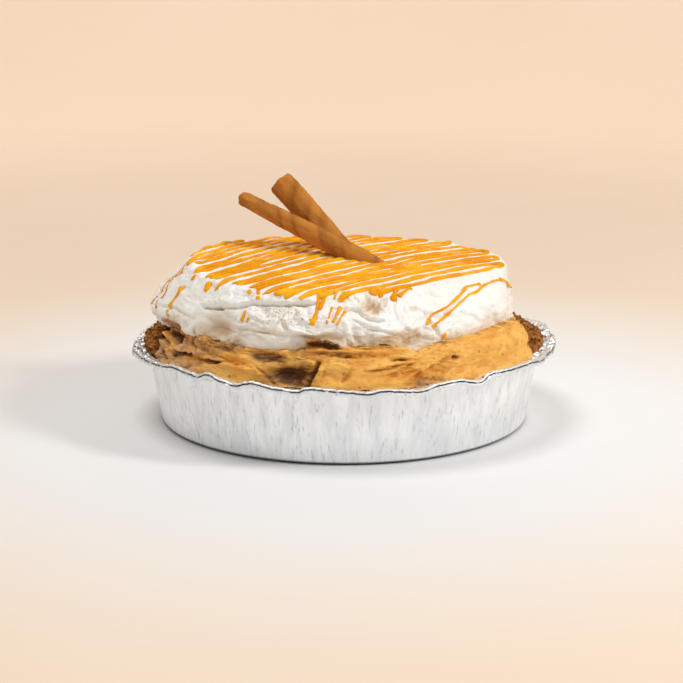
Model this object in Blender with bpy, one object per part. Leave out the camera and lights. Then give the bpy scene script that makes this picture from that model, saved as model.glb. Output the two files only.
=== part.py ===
"""A deep pumpkin cream pie in its foil tin.

A crumb crust lines the tin, a pumpkin filling stands above it, a thick crown of whipped cream
covers the filling, hairpin lines of drizzle cross the cream, and two cinnamon quills lean out
of its middle. The pie stands on the XY plane round the Z axis, and its shown side faces -Y.

Lengths are in millimetres and angles in degrees, anticlockwise from +X as seen from above.
mesh_object scales the finished points to metres.
"""

import math

import bmesh
import bpy
from mathutils import Vector, noise
from mathutils.bvhtree import BVHTree

MM = 0.001
COLUMNS = 96
TIN_COLUMNS = 120
HUB_RADIUS = 60.0
HUB_EDGE = 55.0
HUB_STEP = 4
SEAT_GAP = 0.4

# Tin
TIN_FLOOR_RADIUS = 100.5
TIN_FLOOR_THICKNESS = 0.9
TIN_WALL_FOOT = (103.2, 3.6)
TIN_WALL_SLOPE = 0.166
TIN_WALL_TOP = 41.0
TIN_WALL_THICKNESS = 1.0
TIN_FOOT_ROUNDING = 0.6
# Rim section from under the flange, over its rolled edge, to the inner lip:
# radius, height, and how much of the waves and of the crimps it takes
TIN_RIM_SECTION = (
    (114.5, 42.2, 0.4, 0.0),
    (119.6, 42.8, 1.0, 1.0),
    (120.2, 44.6, 1.0, 1.0),
    (118.4, 45.2, 1.0, 1.0),
    (116.0, 43.6, 0.7, 0.0),
    (112.9, 46.0, 0.6, 0.0),
    (111.0, 45.4, 0.6, 0.0),
)
TIN_PLEATS = 60
TIN_PLEAT_DEPTH = 0.45
TIN_RIM_WAVES = 26
TIN_RIM_WAVE_HEIGHT = 1.9
TIN_RIM_CRIMP = 0.4
TIN_RIM_SAG = 3.6
TIN_RIM_SAG_ANGLE = 180.0
TIN_RIM_SAG_SPREAD = 50.0
TIN_WALL_SAG = 0.6

# Crust
CRUST_GAP = 0.35
CRUST_THICKNESS = 5.8
CRUST_FLOOR = (1.3, 6.3)
CRUST_TOP = 47.3
CRUST_TOP_UNDER_SPILL = 42.6
CRUST_CRUMBLE = 0.8
CRUST_SHOULDER = 38.0
CRUST_FLARE = 0.6
CRUST_FOOT = ((99.4, 1.3), (102.9, 4.1))
CRUST_INNER_FOOT = ((97.9, 9.2), (94.4, 6.3))
# Crumbly top: how far in from the outside, and how far under the top
CRUST_BROW = ((0.0, 1.2), (2.0, 0.0), (4.2, 0.8))

# Filling: it spills over the crust in front, between these two angles
SPILL_START = -171.0
SPILL_END = -5.0
SPILL_FADE = 13.0
FILLING_FLOOR = 6.7
FILLING_FLOOR_RADIUS = 93.9
FILLING_HEEL = (9.5, 9.7)
FILLING_NECK = 34.0
FILLING_COLLAR = 41.5
FILLING_COLLAR_GAP = 0.8
FILLING_SIDE = (0.0, 0.25, 0.5, 0.75, 1.0)
FILLING_SIDE_FOOT = 44.5
FILLING_SPILL_RADIUS = 104.2
FILLING_SPILL_BULGE = 2.6
FILLING_BULGE_SPAN = (0.15, 0.75)
FILLING_EDGE_IN = (0.6, 1.5)
FILLING_FOOT_IN = 1.2
FILLING_RADIUS = 97.6
FILLING_RIPPLE = 1.2
SEAT_HEIGHT = 60.0
SEAT_RINGS = (0.0, 0.07, 0.18)
# Lobes and hollows of a side: angle, height, half width in degrees, half height, swell
FILLING_LOBES = (
    (-119.5, 49.5, 10.0, 6.5, 2.2),
    (-104.0, 51.0, 9.0, 8.5, -5.4),
    (-86.0, 51.0, 13.0, 8.5, 2.2),
    (-65.0, 47.0, 9.0, 5.0, -3.4),
    (-36.0, 52.5, 27.0, 10.0, 1.9),
    (-150.0, 56.0, 9.0, 5.5, -3.8),
    (-137.0, 49.5, 9.0, 3.6, -2.6),
    (-156.0, 48.0, 12.0, 5.0, 1.6),
)

# Cream: where its lower lip, its widest girth and the edge of its flat top run, by angle
LIP_HEIGHTS = (
    (-180.0, 52.0), (-164.0, 57.5), (-146.0, 59.4), (-127.0, 58.8), (-118.0, 57.6),
    (-104.0, 59.6), (-99.0, 65.0), (-90.0, 62.6), (-78.0, 62.8), (-67.5, 58.4),
    (-56.0, 61.6), (-40.0, 62.8), (-26.0, 64.0), (0.0, 56.0), (45.0, 56.5), (90.0, 55.0),
    (140.0, 57.0),
)
SEAT_RADII = (
    (-180.0, 97.5), (-150.0, 98.5), (-90.0, 98.5), (-52.0, 97.0), (0.0, 94.5), (90.0, 95.0),
)
LIP_OVERHANGS = (
    (-180.0, 5.0), (-140.0, 3.0), (-120.0, 2.4), (-45.0, 2.4), (0.0, 3.0), (90.0, 3.0),
)
GIRTH_RADII = (
    (-180.0, 110.0), (-150.0, 105.5), (-120.0, 102.0), (-90.0, 100.6), (-52.0, 99.5),
    (0.0, 98.0), (90.0, 99.0), (150.0, 105.0),
)
PLATEAU_RADII = (
    (-180.0, 83.0), (-160.0, 87.0), (-128.0, 89.5), (-90.0, 86.5), (-52.0, 80.5), (-20.0, 88.0),
    (0.0, 90.0), (45.0, 83.0), (90.0, 79.5), (125.0, 75.5), (155.0, 80.0),
)
EDGE_HEIGHTS = (
    (-180.0, 87.5), (-120.0, 87.5), (-60.0, 86.5), (0.0, 88.0), (90.0, 87.5), (130.0, 86.5),
)
PLATEAU_HEIGHT = 91.5
PLATEAU_RINGS = (0.94, 0.82)
PLATEAU_HUB_RINGS = (56.0, 28.0)
PLATEAU_SWIRL = 0.5
GIRTH_LEVEL = 0.3
SHOULDER_SLOPE = 1.35
CREAM_SIDE = (0.12, 0.3, 0.5, 0.72, 0.9)
CREAM_ROUGHNESS = 1.3
CREAM_LOBES = (
    (-28.0, 74.0, 26.0, 15.0, 2.2),
    (-58.0, 70.0, 9.0, 13.0, -2.6),
    (-125.0, 75.0, 24.0, 6.0, 2.4),
    (-126.0, 66.0, 22.0, 6.0, -2.2),
    (-92.0, 76.0, 14.0, 9.0, 1.4),
    (170.0, 62.0, 24.0, 9.0, 1.6),
    (118.0, 70.0, 20.0, 12.0, -2.0),
    (60.0, 66.0, 24.0, 10.0, 2.0),
)

# Drizzle
DRIZZLE_ANGLE = 50.0
DRIZZLE_SPACING = 11.5
DRIZZLE_LINES = 14
DRIZZLE_SHIFT = -4.0
DRIZZLE_MARGIN = 3.0
DRIZZLE_STEP = 13.0
DRIZZLE_FOOT = 2.4
DRIZZLE_CREST = 1.2
DRIZZLE_SUNK = 0.8
DRIZZLE_PROUD = 1.1
DRIZZLE_TURN_POINTS = 5
# Runs down the side: angle and height of the upper end, and of the lower end
RUNS = (
    (-95.5, 86.0, -99.6, 72.5),
    (-92.4, 83.0, -95.3, 73.0),
    (-89.0, 81.5, -92.0, 72.0),
    (-47.0, 85.0, -63.5, 71.0),
    (-120.5, 76.5, -124.5, 70.5),
    (-150.0, 84.0, -154.5, 68.5),
    (-158.0, 85.0, -163.0, 71.0),
    (38.0, 85.0, 34.0, 72.0),
    (118.0, 85.0, 122.0, 74.0),
)
RUN_STEPS = 3
RUN_REACH = 95.0
RUN_FOOT = 2.0
RUN_CREST = 1.1

# Cinnamon quills: free end, buried end, and the radius at even steps from one to the other
QUILLS = {
    "cinnamon_stick_thin": ((-59.1, 36.0, 119.6), (30.0, -20.0, 80.2), (4.1, 4.9, 5.8, 6.2, 5.6)),
    "cinnamon_stick_thick": ((-36.0, 40.0, 128.5), (12.0, 20.0, 77.4), (7.5, 7.6, 7.5, 7.4, 6.9)),
}
BARK_THICKNESS = 1.1
BARK_GAP = 0.4
BARK_TURNS = 1.6
BARK_TURN_POINTS = 12
SOCKET_GAP = 0.6
SOCKET_SIDES = 16

# Finishes: base colour, roughness, metallic
FINISHES = {
    "tin": ((0.60, 0.60, 0.59), 0.34, 1.0),
    "crust": ((0.30, 0.115, 0.035), 0.85, 0.0),
    "filling": ((0.62, 0.27, 0.07), 0.6, 0.0),
    "cream": ((0.86, 0.80, 0.70), 0.55, 0.0),
    "drizzle": ((0.86, 0.38, 0.02), 0.35, 0.0),
    "cinnamon": ((0.36, 0.155, 0.05), 0.75, 0.0),
}


def smooth(low, high, x):
    """0 below low, 1 above high, and an S curve between them."""
    t = min(1.0, max(0.0, (x - low) / (high - low)))
    return t * t * (3.0 - 2.0 * t)


def blend(a, b, share):
    return a + (b - a) * share


def apart(angle, centre):
    """The angle from centre to angle, within half a turn."""
    return (angle - centre + 180.0) % 360.0 - 180.0


def hump(distance, half_width):
    """A rounded bump: 1 at no distance, 0 from the half width on."""
    share = min(1.0, abs(distance) / half_width)
    return (1.0 - share * share) ** 2


def around(angle, stops):
    """A value that passes through (angle, value) stops in order, all the way round."""
    turn = (angle + 180.0) % 360.0 - 180.0
    closed = (*stops, (stops[0][0] + 360.0, stops[0][1]))
    for (low, first), (high, second) in zip(closed, closed[1:]):
        if low <= turn < high:
            return blend(first, second, smooth(low, high, turn))
    return stops[0][1]


def ripple(angle, waves, seed):
    """Uneven waves round a circle, about -1 to 1."""
    turn = math.radians(angle)
    reach = waves / (2.0 * math.pi)
    return 1.6 * noise.noise(Vector((reach * math.cos(turn), reach * math.sin(turn), seed)))


def lobed(angle, height, lobes):
    """The swell of a side's lobes and hollows at one place."""
    return sum(
        swell * hump(apart(angle, centre), half_width) * hump(height - level, half_height)
        for centre, level, half_width, half_height, swell in lobes
    )


def spill(angle):
    """1 where the filling covers the crust's top, 0 where the crust shows."""
    start = smooth(SPILL_START, SPILL_START + SPILL_FADE, apart(angle, 0.0))
    end = smooth(SPILL_END - SPILL_FADE, SPILL_END, apart(angle, 0.0))
    return start * (1.0 - end)


def tin_inside(height):
    """The radius of the tin's inner wall."""
    foot_radius, foot_height = TIN_WALL_FOOT
    return foot_radius + TIN_WALL_SLOPE * (height - foot_height)


def tin_profile(angle):
    """The tin from the middle of its underside, over the rim, to the middle of its floor."""
    pleat = TIN_PLEAT_DEPTH * ripple(angle, TIN_PLEATS, 3.1)
    sag = -TIN_RIM_SAG * hump(apart(angle, TIN_RIM_SAG_ANGLE), TIN_RIM_SAG_SPREAD)
    wave = TIN_RIM_WAVE_HEIGHT * ripple(angle, TIN_RIM_WAVES, 7.7)
    crimp = TIN_RIM_CRIMP * (-1.0) ** round(angle * TIN_COLUMNS / 360.0)
    top = TIN_WALL_TOP + TIN_WALL_SAG * sag
    rim = [
        (radius, height + sag + waves * wave + crimps * crimp)
        for radius, height, waves, crimps in TIN_RIM_SECTION
    ]
    outside = tin_inside(TIN_WALL_TOP) + TIN_WALL_THICKNESS
    halfway = tin_inside(0.5 * TIN_WALL_TOP) + TIN_WALL_THICKNESS
    foot_radius, foot_height = TIN_WALL_FOOT
    return (
        (0.0, 0.0),
        (HUB_EDGE, 0.0),
        (TIN_FLOOR_RADIUS, 0.0),
        (foot_radius + TIN_WALL_THICKNESS, foot_height - TIN_FOOT_ROUNDING),
        (halfway + pleat, 0.5 * TIN_WALL_TOP),
        (outside + pleat, top),
        *rim,
        (outside - TIN_WALL_THICKNESS, top),
        (foot_radius, foot_height),
        (TIN_FLOOR_RADIUS - TIN_FOOT_ROUNDING, TIN_FLOOR_THICKNESS),
        (HUB_EDGE, TIN_FLOOR_THICKNESS),
        (0.0, TIN_FLOOR_THICKNESS),
    )


def crust_outside(height):
    return tin_inside(height) - CRUST_GAP


def crust_inside(height):
    return crust_outside(height) - CRUST_THICKNESS


def crust_profile(angle):
    """The crust from the middle of its underside, over its crumbly top, to its floor."""
    crumble = CRUST_CRUMBLE * ripple(angle, 40, 12.3)
    bare = min(CRUST_TOP + crumble, around(angle, LIP_HEIGHTS) - 1.0)
    top = blend(bare, CRUST_TOP_UNDER_SPILL, smooth(0.0, 0.5, spill(angle)))
    underside, floor = CRUST_FLOOR
    outside = crust_outside(CRUST_SHOULDER)
    return (
        (0.0, underside),
        (HUB_EDGE, underside),
        *CRUST_FOOT,
        (outside, CRUST_SHOULDER),
        *((outside + CRUST_FLARE - inward, top - under) for inward, under in CRUST_BROW),
        (outside - CRUST_THICKNESS, CRUST_SHOULDER),
        *CRUST_INNER_FOOT,
        (HUB_EDGE, floor),
        (0.0, floor),
    )


def seat(angle, inward, lift):
    """Where the cream rests on the filling: a point a share inward from the seat's edge."""
    radius = around(angle, SEAT_RADII)
    lip = around(angle, LIP_HEIGHTS)
    return radius * (1.0 - inward), lift + blend(lip, SEAT_HEIGHT, smooth(0.0, 0.3, inward))


def filling_radius(angle, share, height):
    """The side's radius, a share of the way up from the crust to the cream."""
    low, span = FILLING_BULGE_SPAN
    bulge = FILLING_SPILL_BULGE * math.sin(math.pi * (low + span * share))
    edge_share, edge_in = FILLING_EDGE_IN
    edge = edge_in * smooth(edge_share, 1.0, share) - FILLING_FOOT_IN * (1.0 - share)
    spilt = FILLING_SPILL_RADIUS + bulge - edge + lobed(angle, height, FILLING_LOBES)
    bare = FILLING_RADIUS + FILLING_RIPPLE * ripple(angle, 18, 5.5)
    return blend(bare, spilt, smooth(0.5, 1.0, spill(angle)))


def filling_profile(angle):
    lip = around(angle, LIP_HEIGHTS)
    levels = [(share, blend(FILLING_SIDE_FOOT, lip - 1.0, share)) for share in FILLING_SIDE]
    inside = blend(FILLING_RADIUS, crust_inside(CRUST_TOP_UNDER_SPILL), smooth(0.5, 1.0, spill(angle)))
    heel_level, heel_height = FILLING_HEEL
    return (
        (0.0, FILLING_FLOOR),
        (HUB_EDGE, FILLING_FLOOR),
        (FILLING_FLOOR_RADIUS, FILLING_FLOOR),
        (crust_inside(heel_level) - SEAT_GAP, heel_height),
        (crust_inside(FILLING_NECK) - SEAT_GAP, FILLING_NECK),
        (inside - FILLING_COLLAR_GAP, FILLING_COLLAR),
        *((filling_radius(angle, share, height), height) for share, height in levels),
        *(seat(angle, inward, 0.0) for inward in SEAT_RINGS),
        (HUB_EDGE, SEAT_HEIGHT),
        (0.0, SEAT_HEIGHT),
    )


def lip_radius(angle):
    return around(angle, SEAT_RADII) + around(angle, LIP_OVERHANGS)


def side_radius(angle, level):
    """The cream's radius from its lip (0), out to its girth, and in to its plateau (1)."""
    girth = around(angle, GIRTH_RADII)
    if level < GIRTH_LEVEL:
        return blend(lip_radius(angle), girth, smooth(-GIRTH_LEVEL, GIRTH_LEVEL, level) * 2.0 - 1.0)
    inward = ((level - GIRTH_LEVEL) / (1.0 - GIRTH_LEVEL)) ** SHOULDER_SLOPE
    return blend(girth, around(angle, PLATEAU_RADII), inward)


def cream_side(angle, level):
    """A point of the cream's side, from the lip (0) to the plateau's edge (1)."""
    height = blend(around(angle, LIP_HEIGHTS), around(angle, EDGE_HEIGHTS), level)
    turn = math.radians(angle)
    place = Vector((4.5 * math.cos(turn), 4.5 * math.sin(turn), height / 16.0))
    relief = lobed(angle, height, CREAM_LOBES) + CREAM_ROUGHNESS * noise.noise(place)
    return side_radius(angle, level) + relief * hump(level - 0.5, 0.55), height


def plateau_height(angle, share):
    """The height of the cream's top, a share of the way out to its edge."""
    turn = math.radians(angle)
    place = Vector((2.5 * share * math.cos(turn), 2.5 * share * math.sin(turn), 4.0))
    dome = blend(PLATEAU_HEIGHT, around(angle, EDGE_HEIGHTS), share * share)
    return dome + PLATEAU_SWIRL * noise.noise(place)


def cream_profile(angle):
    """The cream from the middle of its underside, round its side, to the middle of its top."""
    plateau = around(angle, PLATEAU_RADII)
    return (
        (0.0, SEAT_HEIGHT + SEAT_GAP),
        (HUB_EDGE, SEAT_HEIGHT + SEAT_GAP),
        *(seat(angle, inward, SEAT_GAP) for inward in reversed(SEAT_RINGS)),
        (lip_radius(angle), around(angle, LIP_HEIGHTS) + SEAT_GAP - 0.3),
        *(cream_side(angle, level) for level in CREAM_SIDE),
        (plateau - 0.5, around(angle, EDGE_HEIGHTS) - 0.3),
        *((plateau * share, plateau_height(angle, share)) for share in PLATEAU_RINGS),
        *((radius, plateau_height(angle, radius / plateau)) for radius in PLATEAU_HUB_RINGS),
        (0.0, PLATEAU_HEIGHT),
    )


def ring_of(points):
    """A ring's points, thinned to every fourth near the axis, and to one on it."""
    reach = max(point.xy.length for point in points)
    if reach == 0.0:
        return points[:1]
    return points[::HUB_STEP] if reach < HUB_RADIUS else points


def band(outer, inner):
    """Triangles from a wide ring of vertex numbers to one inside it, which may have fewer."""
    if len(inner) == 1:
        return [(a, b, inner[0]) for a, b in zip(outer, outer[1:] + outer[:1])]
    step = len(outer) // len(inner)
    middle = (step + 1) // 2
    faces = []
    for place, here in enumerate(inner):
        after = inner[(place + 1) % len(inner)]
        fan = [outer[(place * step + offset) % len(outer)] for offset in range(step + 1)]
        for offset in range(step):
            faces.append((fan[offset], fan[offset + 1], here if offset < middle else after))
        faces.append((fan[middle], after, here))
    return faces


def turned(profile, columns):
    """Points and triangles of a closed solid, from its section at each angle round Z."""
    angles = [360.0 * column / columns - 180.0 for column in range(columns)]
    sections = [profile(angle) for angle in angles]
    points, rings = [], []
    for row in zip(*sections):
        ring = [
            Vector((
                radius * math.cos(math.radians(angle)),
                radius * math.sin(math.radians(angle)),
                height,
            ))
            for angle, (radius, height) in zip(angles, row)
        ]
        ring = ring_of(ring)
        rings.append(list(range(len(points), len(points) + len(ring))))
        points.extend(ring)
    faces = []
    for lower, upper in zip(rings, rings[1:]):
        spans = [sum(points[i].xy.length for i in ring) / len(ring) for ring in (lower, upper)]
        if spans[0] > spans[1]:
            faces.extend(band(lower, upper))
        else:
            faces.extend((c, b, a) for a, b, c in band(upper, lower))
    return points, faces


def mesh_object(name, points, faces, material):
    """An object in metres from points in millimetres, shaded smooth with its creases sharp."""
    mesh = bpy.data.meshes.new(name)
    mesh.from_pydata([point * MM for point in points], [], faces)
    mesh.materials.append(material)
    mesh.shade_smooth()
    mesh.set_sharp_from_angle(angle=math.radians(50.0))
    thing = bpy.data.objects.new(name, mesh)
    bpy.context.scene.collection.objects.link(thing)
    return thing


def finish(name):
    colour, roughness, metallic = FINISHES[name]
    material = bpy.data.materials.new(name)
    material.use_nodes = True
    shader = material.node_tree.nodes["Principled BSDF"]
    shader.inputs["Base Color"].default_value = (*colour, 1.0)
    shader.inputs["Roughness"].default_value = roughness
    shader.inputs["Metallic"].default_value = metallic
    return material


def tube(sections):
    """Points and faces of a solid through equal rings of points, with both ends capped."""
    count = len(sections[0])
    points = [point for section in sections for point in section]
    faces = [tuple(range(count))[::-1]]
    for start in range(0, len(points) - count, count):
        for side in range(count):
            after = (side + 1) % count
            faces.append((start + side, start + after, start + count + after, start + count + side))
    faces.append(tuple(range(len(points) - count, len(points))))
    return points, faces


def strip(path, facing, foot, crest):
    """A line of drizzle along (point, outward) pairs: a low ridge, sunk a little at its foot.

    facing(point, outward) gives the place on the cream's surface under a point.
    """
    sections = []
    for place, (point, outward) in enumerate(path):
        before = path[max(0, place - 1)][0]
        after = path[min(len(path) - 1, place + 1)][0]
        side = (after - before).cross(outward).normalized()
        section = []
        for across, rise in (
            (foot, -DRIZZLE_SUNK),
            (crest, DRIZZLE_PROUD),
            (-crest, DRIZZLE_PROUD),
            (-foot, -DRIZZLE_SUNK),
        ):
            section.append(facing(point + side * across, outward) + outward * rise)
        sections.append(section)
    return tube(sections)


def on_surface(surface):
    """A function that drops a point onto the cream along its outward direction."""
    def facing(point, outward):
        hit = surface.ray_cast(point + outward * 30.0, -outward)[0]
        return hit if hit is not None else point
    return facing


def plateau_span(offset):
    """Where one straight line of drizzle starts and stops, measured along it."""
    turn = math.radians(DRIZZLE_ANGLE)
    along = Vector((math.cos(turn), math.sin(turn), 0.0))
    across = Vector((-along.y, along.x, 0.0))
    ends = []
    for way in (-1.0, 1.0):
        reach = 0.0
        while True:
            point = across * offset + along * (reach * way)
            edge = around(math.degrees(math.atan2(point.y, point.x)), PLATEAU_RADII)
            if point.length > edge - DRIZZLE_MARGIN:
                break
            reach += 0.5
        ends.append(reach * way)
    return along, across, ends


def hairpin(offset):
    """The path of two neighbouring lines of drizzle, joined by a half turn at the far end."""
    half = 0.5 * DRIZZLE_SPACING
    along, across, _ = plateau_span(offset)
    spans = [plateau_span(offset + side)[2] for side in (-half, half)]
    turn = min(span[1] for span in spans) - half
    up = Vector((0.0, 0.0, 1.0))
    level = up * PLATEAU_HEIGHT
    places = []
    for side, (start, _) in zip((-half, half), spans):
        count = max(2, round((turn - start) / DRIZZLE_STEP))
        leg = [(offset + side, blend(start, turn, place / count)) for place in range(count + 1)]
        places.append(leg)
    bend = [
        (offset - half * math.cos(angle), turn + half * math.sin(angle))
        for angle in (math.pi * place / DRIZZLE_TURN_POINTS for place in range(1, DRIZZLE_TURN_POINTS))
    ]
    route = places[0] + bend + places[1][::-1]
    return [(level + across * sideways + along * forward, up) for sideways, forward in route]


def run_down(start, top, end, foot):
    """The path of a run of drizzle down the cream's side, from one angle and height to another."""
    path = []
    for step in range(RUN_STEPS + 1):
        turn = math.radians(blend(start, end, step / RUN_STEPS))
        outward = Vector((math.cos(turn), math.sin(turn), 0.0))
        height = blend(top, foot, step / RUN_STEPS)
        path.append((outward * RUN_REACH + Vector((0.0, 0.0, height)), outward))
    return path


def quill_frame(free_end, buried_end):
    """The axis of a quill and two directions square to it."""
    start, stop = Vector(free_end), Vector(buried_end)
    axis = (stop - start).normalized()
    first = axis.cross(Vector((0.0, 0.0, 1.0))).normalized()
    return start, stop, first, axis.cross(first)


def quill(free_end, buried_end, radii):
    """A rolled quill: one sheet of bark wound into a spiral, drawn along the axis."""
    start, stop, first, second = quill_frame(free_end, buried_end)
    steps = round(BARK_TURNS * BARK_TURN_POINTS)
    angles = [2.0 * math.pi * place / BARK_TURN_POINTS for place in range(steps + 1)]
    pitch = (BARK_THICKNESS + BARK_GAP) / (2.0 * math.pi)
    sections = []
    for place, radius in enumerate(radii):
        middle = start.lerp(stop, place / (len(radii) - 1))
        outer = [(angle, radius - pitch * angle) for angle in angles]
        inner = [(angle, reach - BARK_THICKNESS) for angle, reach in reversed(outer)]
        sections.append([
            middle + first * (reach * math.cos(angle)) + second * (reach * math.sin(angle))
            for angle, reach in outer + inner
        ])
    return tube(sections)


def quill_socket(free_end, buried_end, radii):
    """What is cut from the cream round a quill: its outer shape, a little larger."""
    start, stop, first, second = quill_frame(free_end, buried_end)
    stop = stop + (stop - start).normalized() * SOCKET_GAP
    sections = []
    for place, radius in enumerate(radii):
        middle = start.lerp(stop, place / (len(radii) - 1))
        turns = [2.0 * math.pi * side / SOCKET_SIDES for side in range(SOCKET_SIDES)]
        reach = radius + SOCKET_GAP
        sections.append([
            middle + first * (reach * math.cos(turn)) + second * (reach * math.sin(turn))
            for turn in turns
        ])
    return tube(sections)


def combine(target, operation, helpers):
    """Applies one Boolean of all the helpers to the target, and removes the helpers."""
    group = bpy.data.collections.new(operation.lower())
    bpy.context.scene.collection.children.link(group)
    for helper in helpers:
        bpy.context.scene.collection.objects.unlink(helper)
        group.objects.link(helper)
        helper.hide_render = True
        helper.display_type = "WIRE"
    modifier = target.modifiers.new(operation.lower(), "BOOLEAN")
    modifier.operation = operation
    modifier.operand_type = "COLLECTION"
    modifier.collection = group
    modifier.solver = "EXACT"
    modifier.material_mode = "TRANSFER"
    bpy.context.view_layer.update()
    graph = bpy.context.evaluated_depsgraph_get()
    joined = bpy.data.meshes.new_from_object(target.evaluated_get(graph))
    target.modifiers.clear()
    target.data = joined
    for helper in helpers:
        bpy.data.objects.remove(helper)
    bpy.data.collections.remove(group)


def build_cream(materials):
    """The cream with its drizzle fused on, and a socket round each quill."""
    points, faces = turned(cream_profile, COLUMNS)
    surface = on_surface(BVHTree.FromPolygons(points, faces))
    cream = mesh_object("cream", points, faces, materials["cream"])
    middle = 0.5 * (DRIZZLE_LINES - 2)
    paths = [
        hairpin((place - middle) * DRIZZLE_SPACING + DRIZZLE_SHIFT)
        for place in range(0, DRIZZLE_LINES, 2)
    ]
    lines = [strip(path, surface, DRIZZLE_FOOT, DRIZZLE_CREST) for path in paths]
    lines += [strip(run_down(*run), surface, RUN_FOOT, RUN_CREST) for run in RUNS]
    helpers = [
        mesh_object(f"drizzle_{place}", *line, materials["drizzle"])
        for place, line in enumerate(lines)
    ]
    combine(cream, "UNION", helpers)
    sockets = [
        mesh_object(f"socket_{name}", *quill_socket(*sizes), materials["cream"])
        for name, sizes in QUILLS.items()
    ]
    combine(cream, "DIFFERENCE", sockets)
    cream.data.shade_smooth()
    cream.data.set_sharp_from_angle(angle=math.radians(35.0))


def outward(thing):
    """Turns a closed object's faces to point out of it."""
    shape = bmesh.new()
    shape.from_mesh(thing.data)
    bmesh.ops.recalc_face_normals(shape, faces=shape.faces)
    shape.to_mesh(thing.data)
    shape.free()


def main():
    for thing in list(bpy.data.objects):
        bpy.data.objects.remove(thing)
    materials = {name: finish(name) for name in FINISHES}
    mesh_object("tin", *turned(tin_profile, TIN_COLUMNS), materials["tin"])
    mesh_object("crust", *turned(crust_profile, COLUMNS), materials["crust"])
    mesh_object("filling", *turned(filling_profile, COLUMNS), materials["filling"])
    build_cream(materials)
    for name, sizes in QUILLS.items():
        outward(mesh_object(name, *quill(*sizes), materials["cinnamon"]))


if __name__ == "__main__":
    main()
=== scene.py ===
"""The looks of a deep pumpkin cream pie in its foil tin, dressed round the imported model.

Lengths are in millimetres and angles in degrees, anticlockwise from +X as seen from above;
skin turns them to metres. The pie's shown side faces -Y.
"""

import itertools
import math

import bpy
import numpy as np
from mathutils import Euler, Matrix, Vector
from mathutils.bvhtree import BVHTree


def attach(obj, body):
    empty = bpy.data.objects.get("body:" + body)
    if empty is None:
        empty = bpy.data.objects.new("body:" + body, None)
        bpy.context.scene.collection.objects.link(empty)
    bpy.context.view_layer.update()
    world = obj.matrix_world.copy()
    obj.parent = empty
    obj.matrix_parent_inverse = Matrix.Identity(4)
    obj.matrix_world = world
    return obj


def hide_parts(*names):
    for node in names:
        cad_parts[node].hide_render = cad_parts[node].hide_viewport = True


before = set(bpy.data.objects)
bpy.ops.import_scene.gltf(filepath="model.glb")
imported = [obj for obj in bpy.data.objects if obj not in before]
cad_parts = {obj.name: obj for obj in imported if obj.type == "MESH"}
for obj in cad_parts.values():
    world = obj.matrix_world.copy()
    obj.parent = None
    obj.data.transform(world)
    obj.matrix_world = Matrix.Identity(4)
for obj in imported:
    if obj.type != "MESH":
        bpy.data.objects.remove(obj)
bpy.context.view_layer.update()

MM = 0.001
BODY = "root"

# Camera
CAMERA_PLACE = (1.4, -1029.1, 287.5)
CAMERA_DOWN = 13.43
CAMERA_TURN = 0.15
CAMERA_LENS = 97.8
SENSOR = 36.0
FRAME = 683

# Tin
TIN_COLUMNS = 1500
TIN_FLOOR_RADIUS = 100.5
TIN_FOOT = (103.2, 3.6)
TIN_SLOPE = 0.166
TIN_WALL_TOP = 41.0
TIN_WALL_SAG = 0.6
TIN_FOIL = 0.35
# Rim section from under the flange, over its rolled edge with the gap in it, to the inner lip:
# radius, height, how much of the waves and of the crimps it takes, and its painted shade in the gap
TIN_RIM_SECTION = (
    (112.4, 41.6, 0.2, 0.1, 0),
    (114.6, 42, 0.5, 0.3, 0),
    (117.4, 42.4, 0.8, 0.6, 0),
    (119.3, 42.5, 1, 1, 0),
    (120.1, 43, 1, 1, 0),
    (120.2, 43.9, 1, 0.8, 0),
    (119.9, 44.25, 1, 0.5, 0.6),
    (118.9, 44.35, 1, 0.3, 1),
    (118.9, 44.75, 1, 0.3, 1),
    (119.7, 44.85, 1, 0.5, 0.6),
    (119.9, 45.2, 1, 0.8, 0),
    (119.6, 45.7, 1, 1, 0),
    (118.7, 45.9, 1, 1, 0),
    (117.6, 45.3, 0.95, 1.1, 0),
    (116.4, 44.5, 0.9, 1.2, 0),
    (115, 44.1, 0.8, 1.3, 0),
    (113.6, 44, 0.7, 1.2, 0),
    (112.4, 43.9, 0.6, 1, 0),
    (111.3, 43.2, 0.5, 0.6, 0),
    (110.5, 42.2, 0.3, 0.3, 0),
)
TIN_GAP_HEIGHT = 44.5
# Height of the gap in the rolled edge, round the shown side
TIN_GAP_HEIGHTS = (
    (-158, 44), (-150, 44.9), (-144, 45.2), (-138.3, 46.3), (-133.9, 45.3), (-129.9, 44.6),
    (-126.2, 46.9), (-122.2, 44.4), (-118.3, 43.3), (-113.3, 45.6), (-106.9, 43.7), (-101.9, 42.8),
    (-98.6, 44.7), (-89.6, 43.5), (-83.8, 42.3), (-80.6, 43.6), (-70.7, 42.2), (-64.8, 44.7),
    (-60.8, 45.3), (-53.7, 42.7), (-49.4, 46.1), (-45.4, 45.7), (-40.9, 45.6), (-33.7, 45.3),
    (-23.8, 43.4), (-16, 44.5),
)
TIN_RIM_WAVES = 26
TIN_RIM_WAVE_HEIGHT = 2.4
TIN_RIM_SAG = 3.6
TIN_RIM_SAG_ANGLE = 180.0
TIN_RIM_SAG_SPREAD = 42.0
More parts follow.
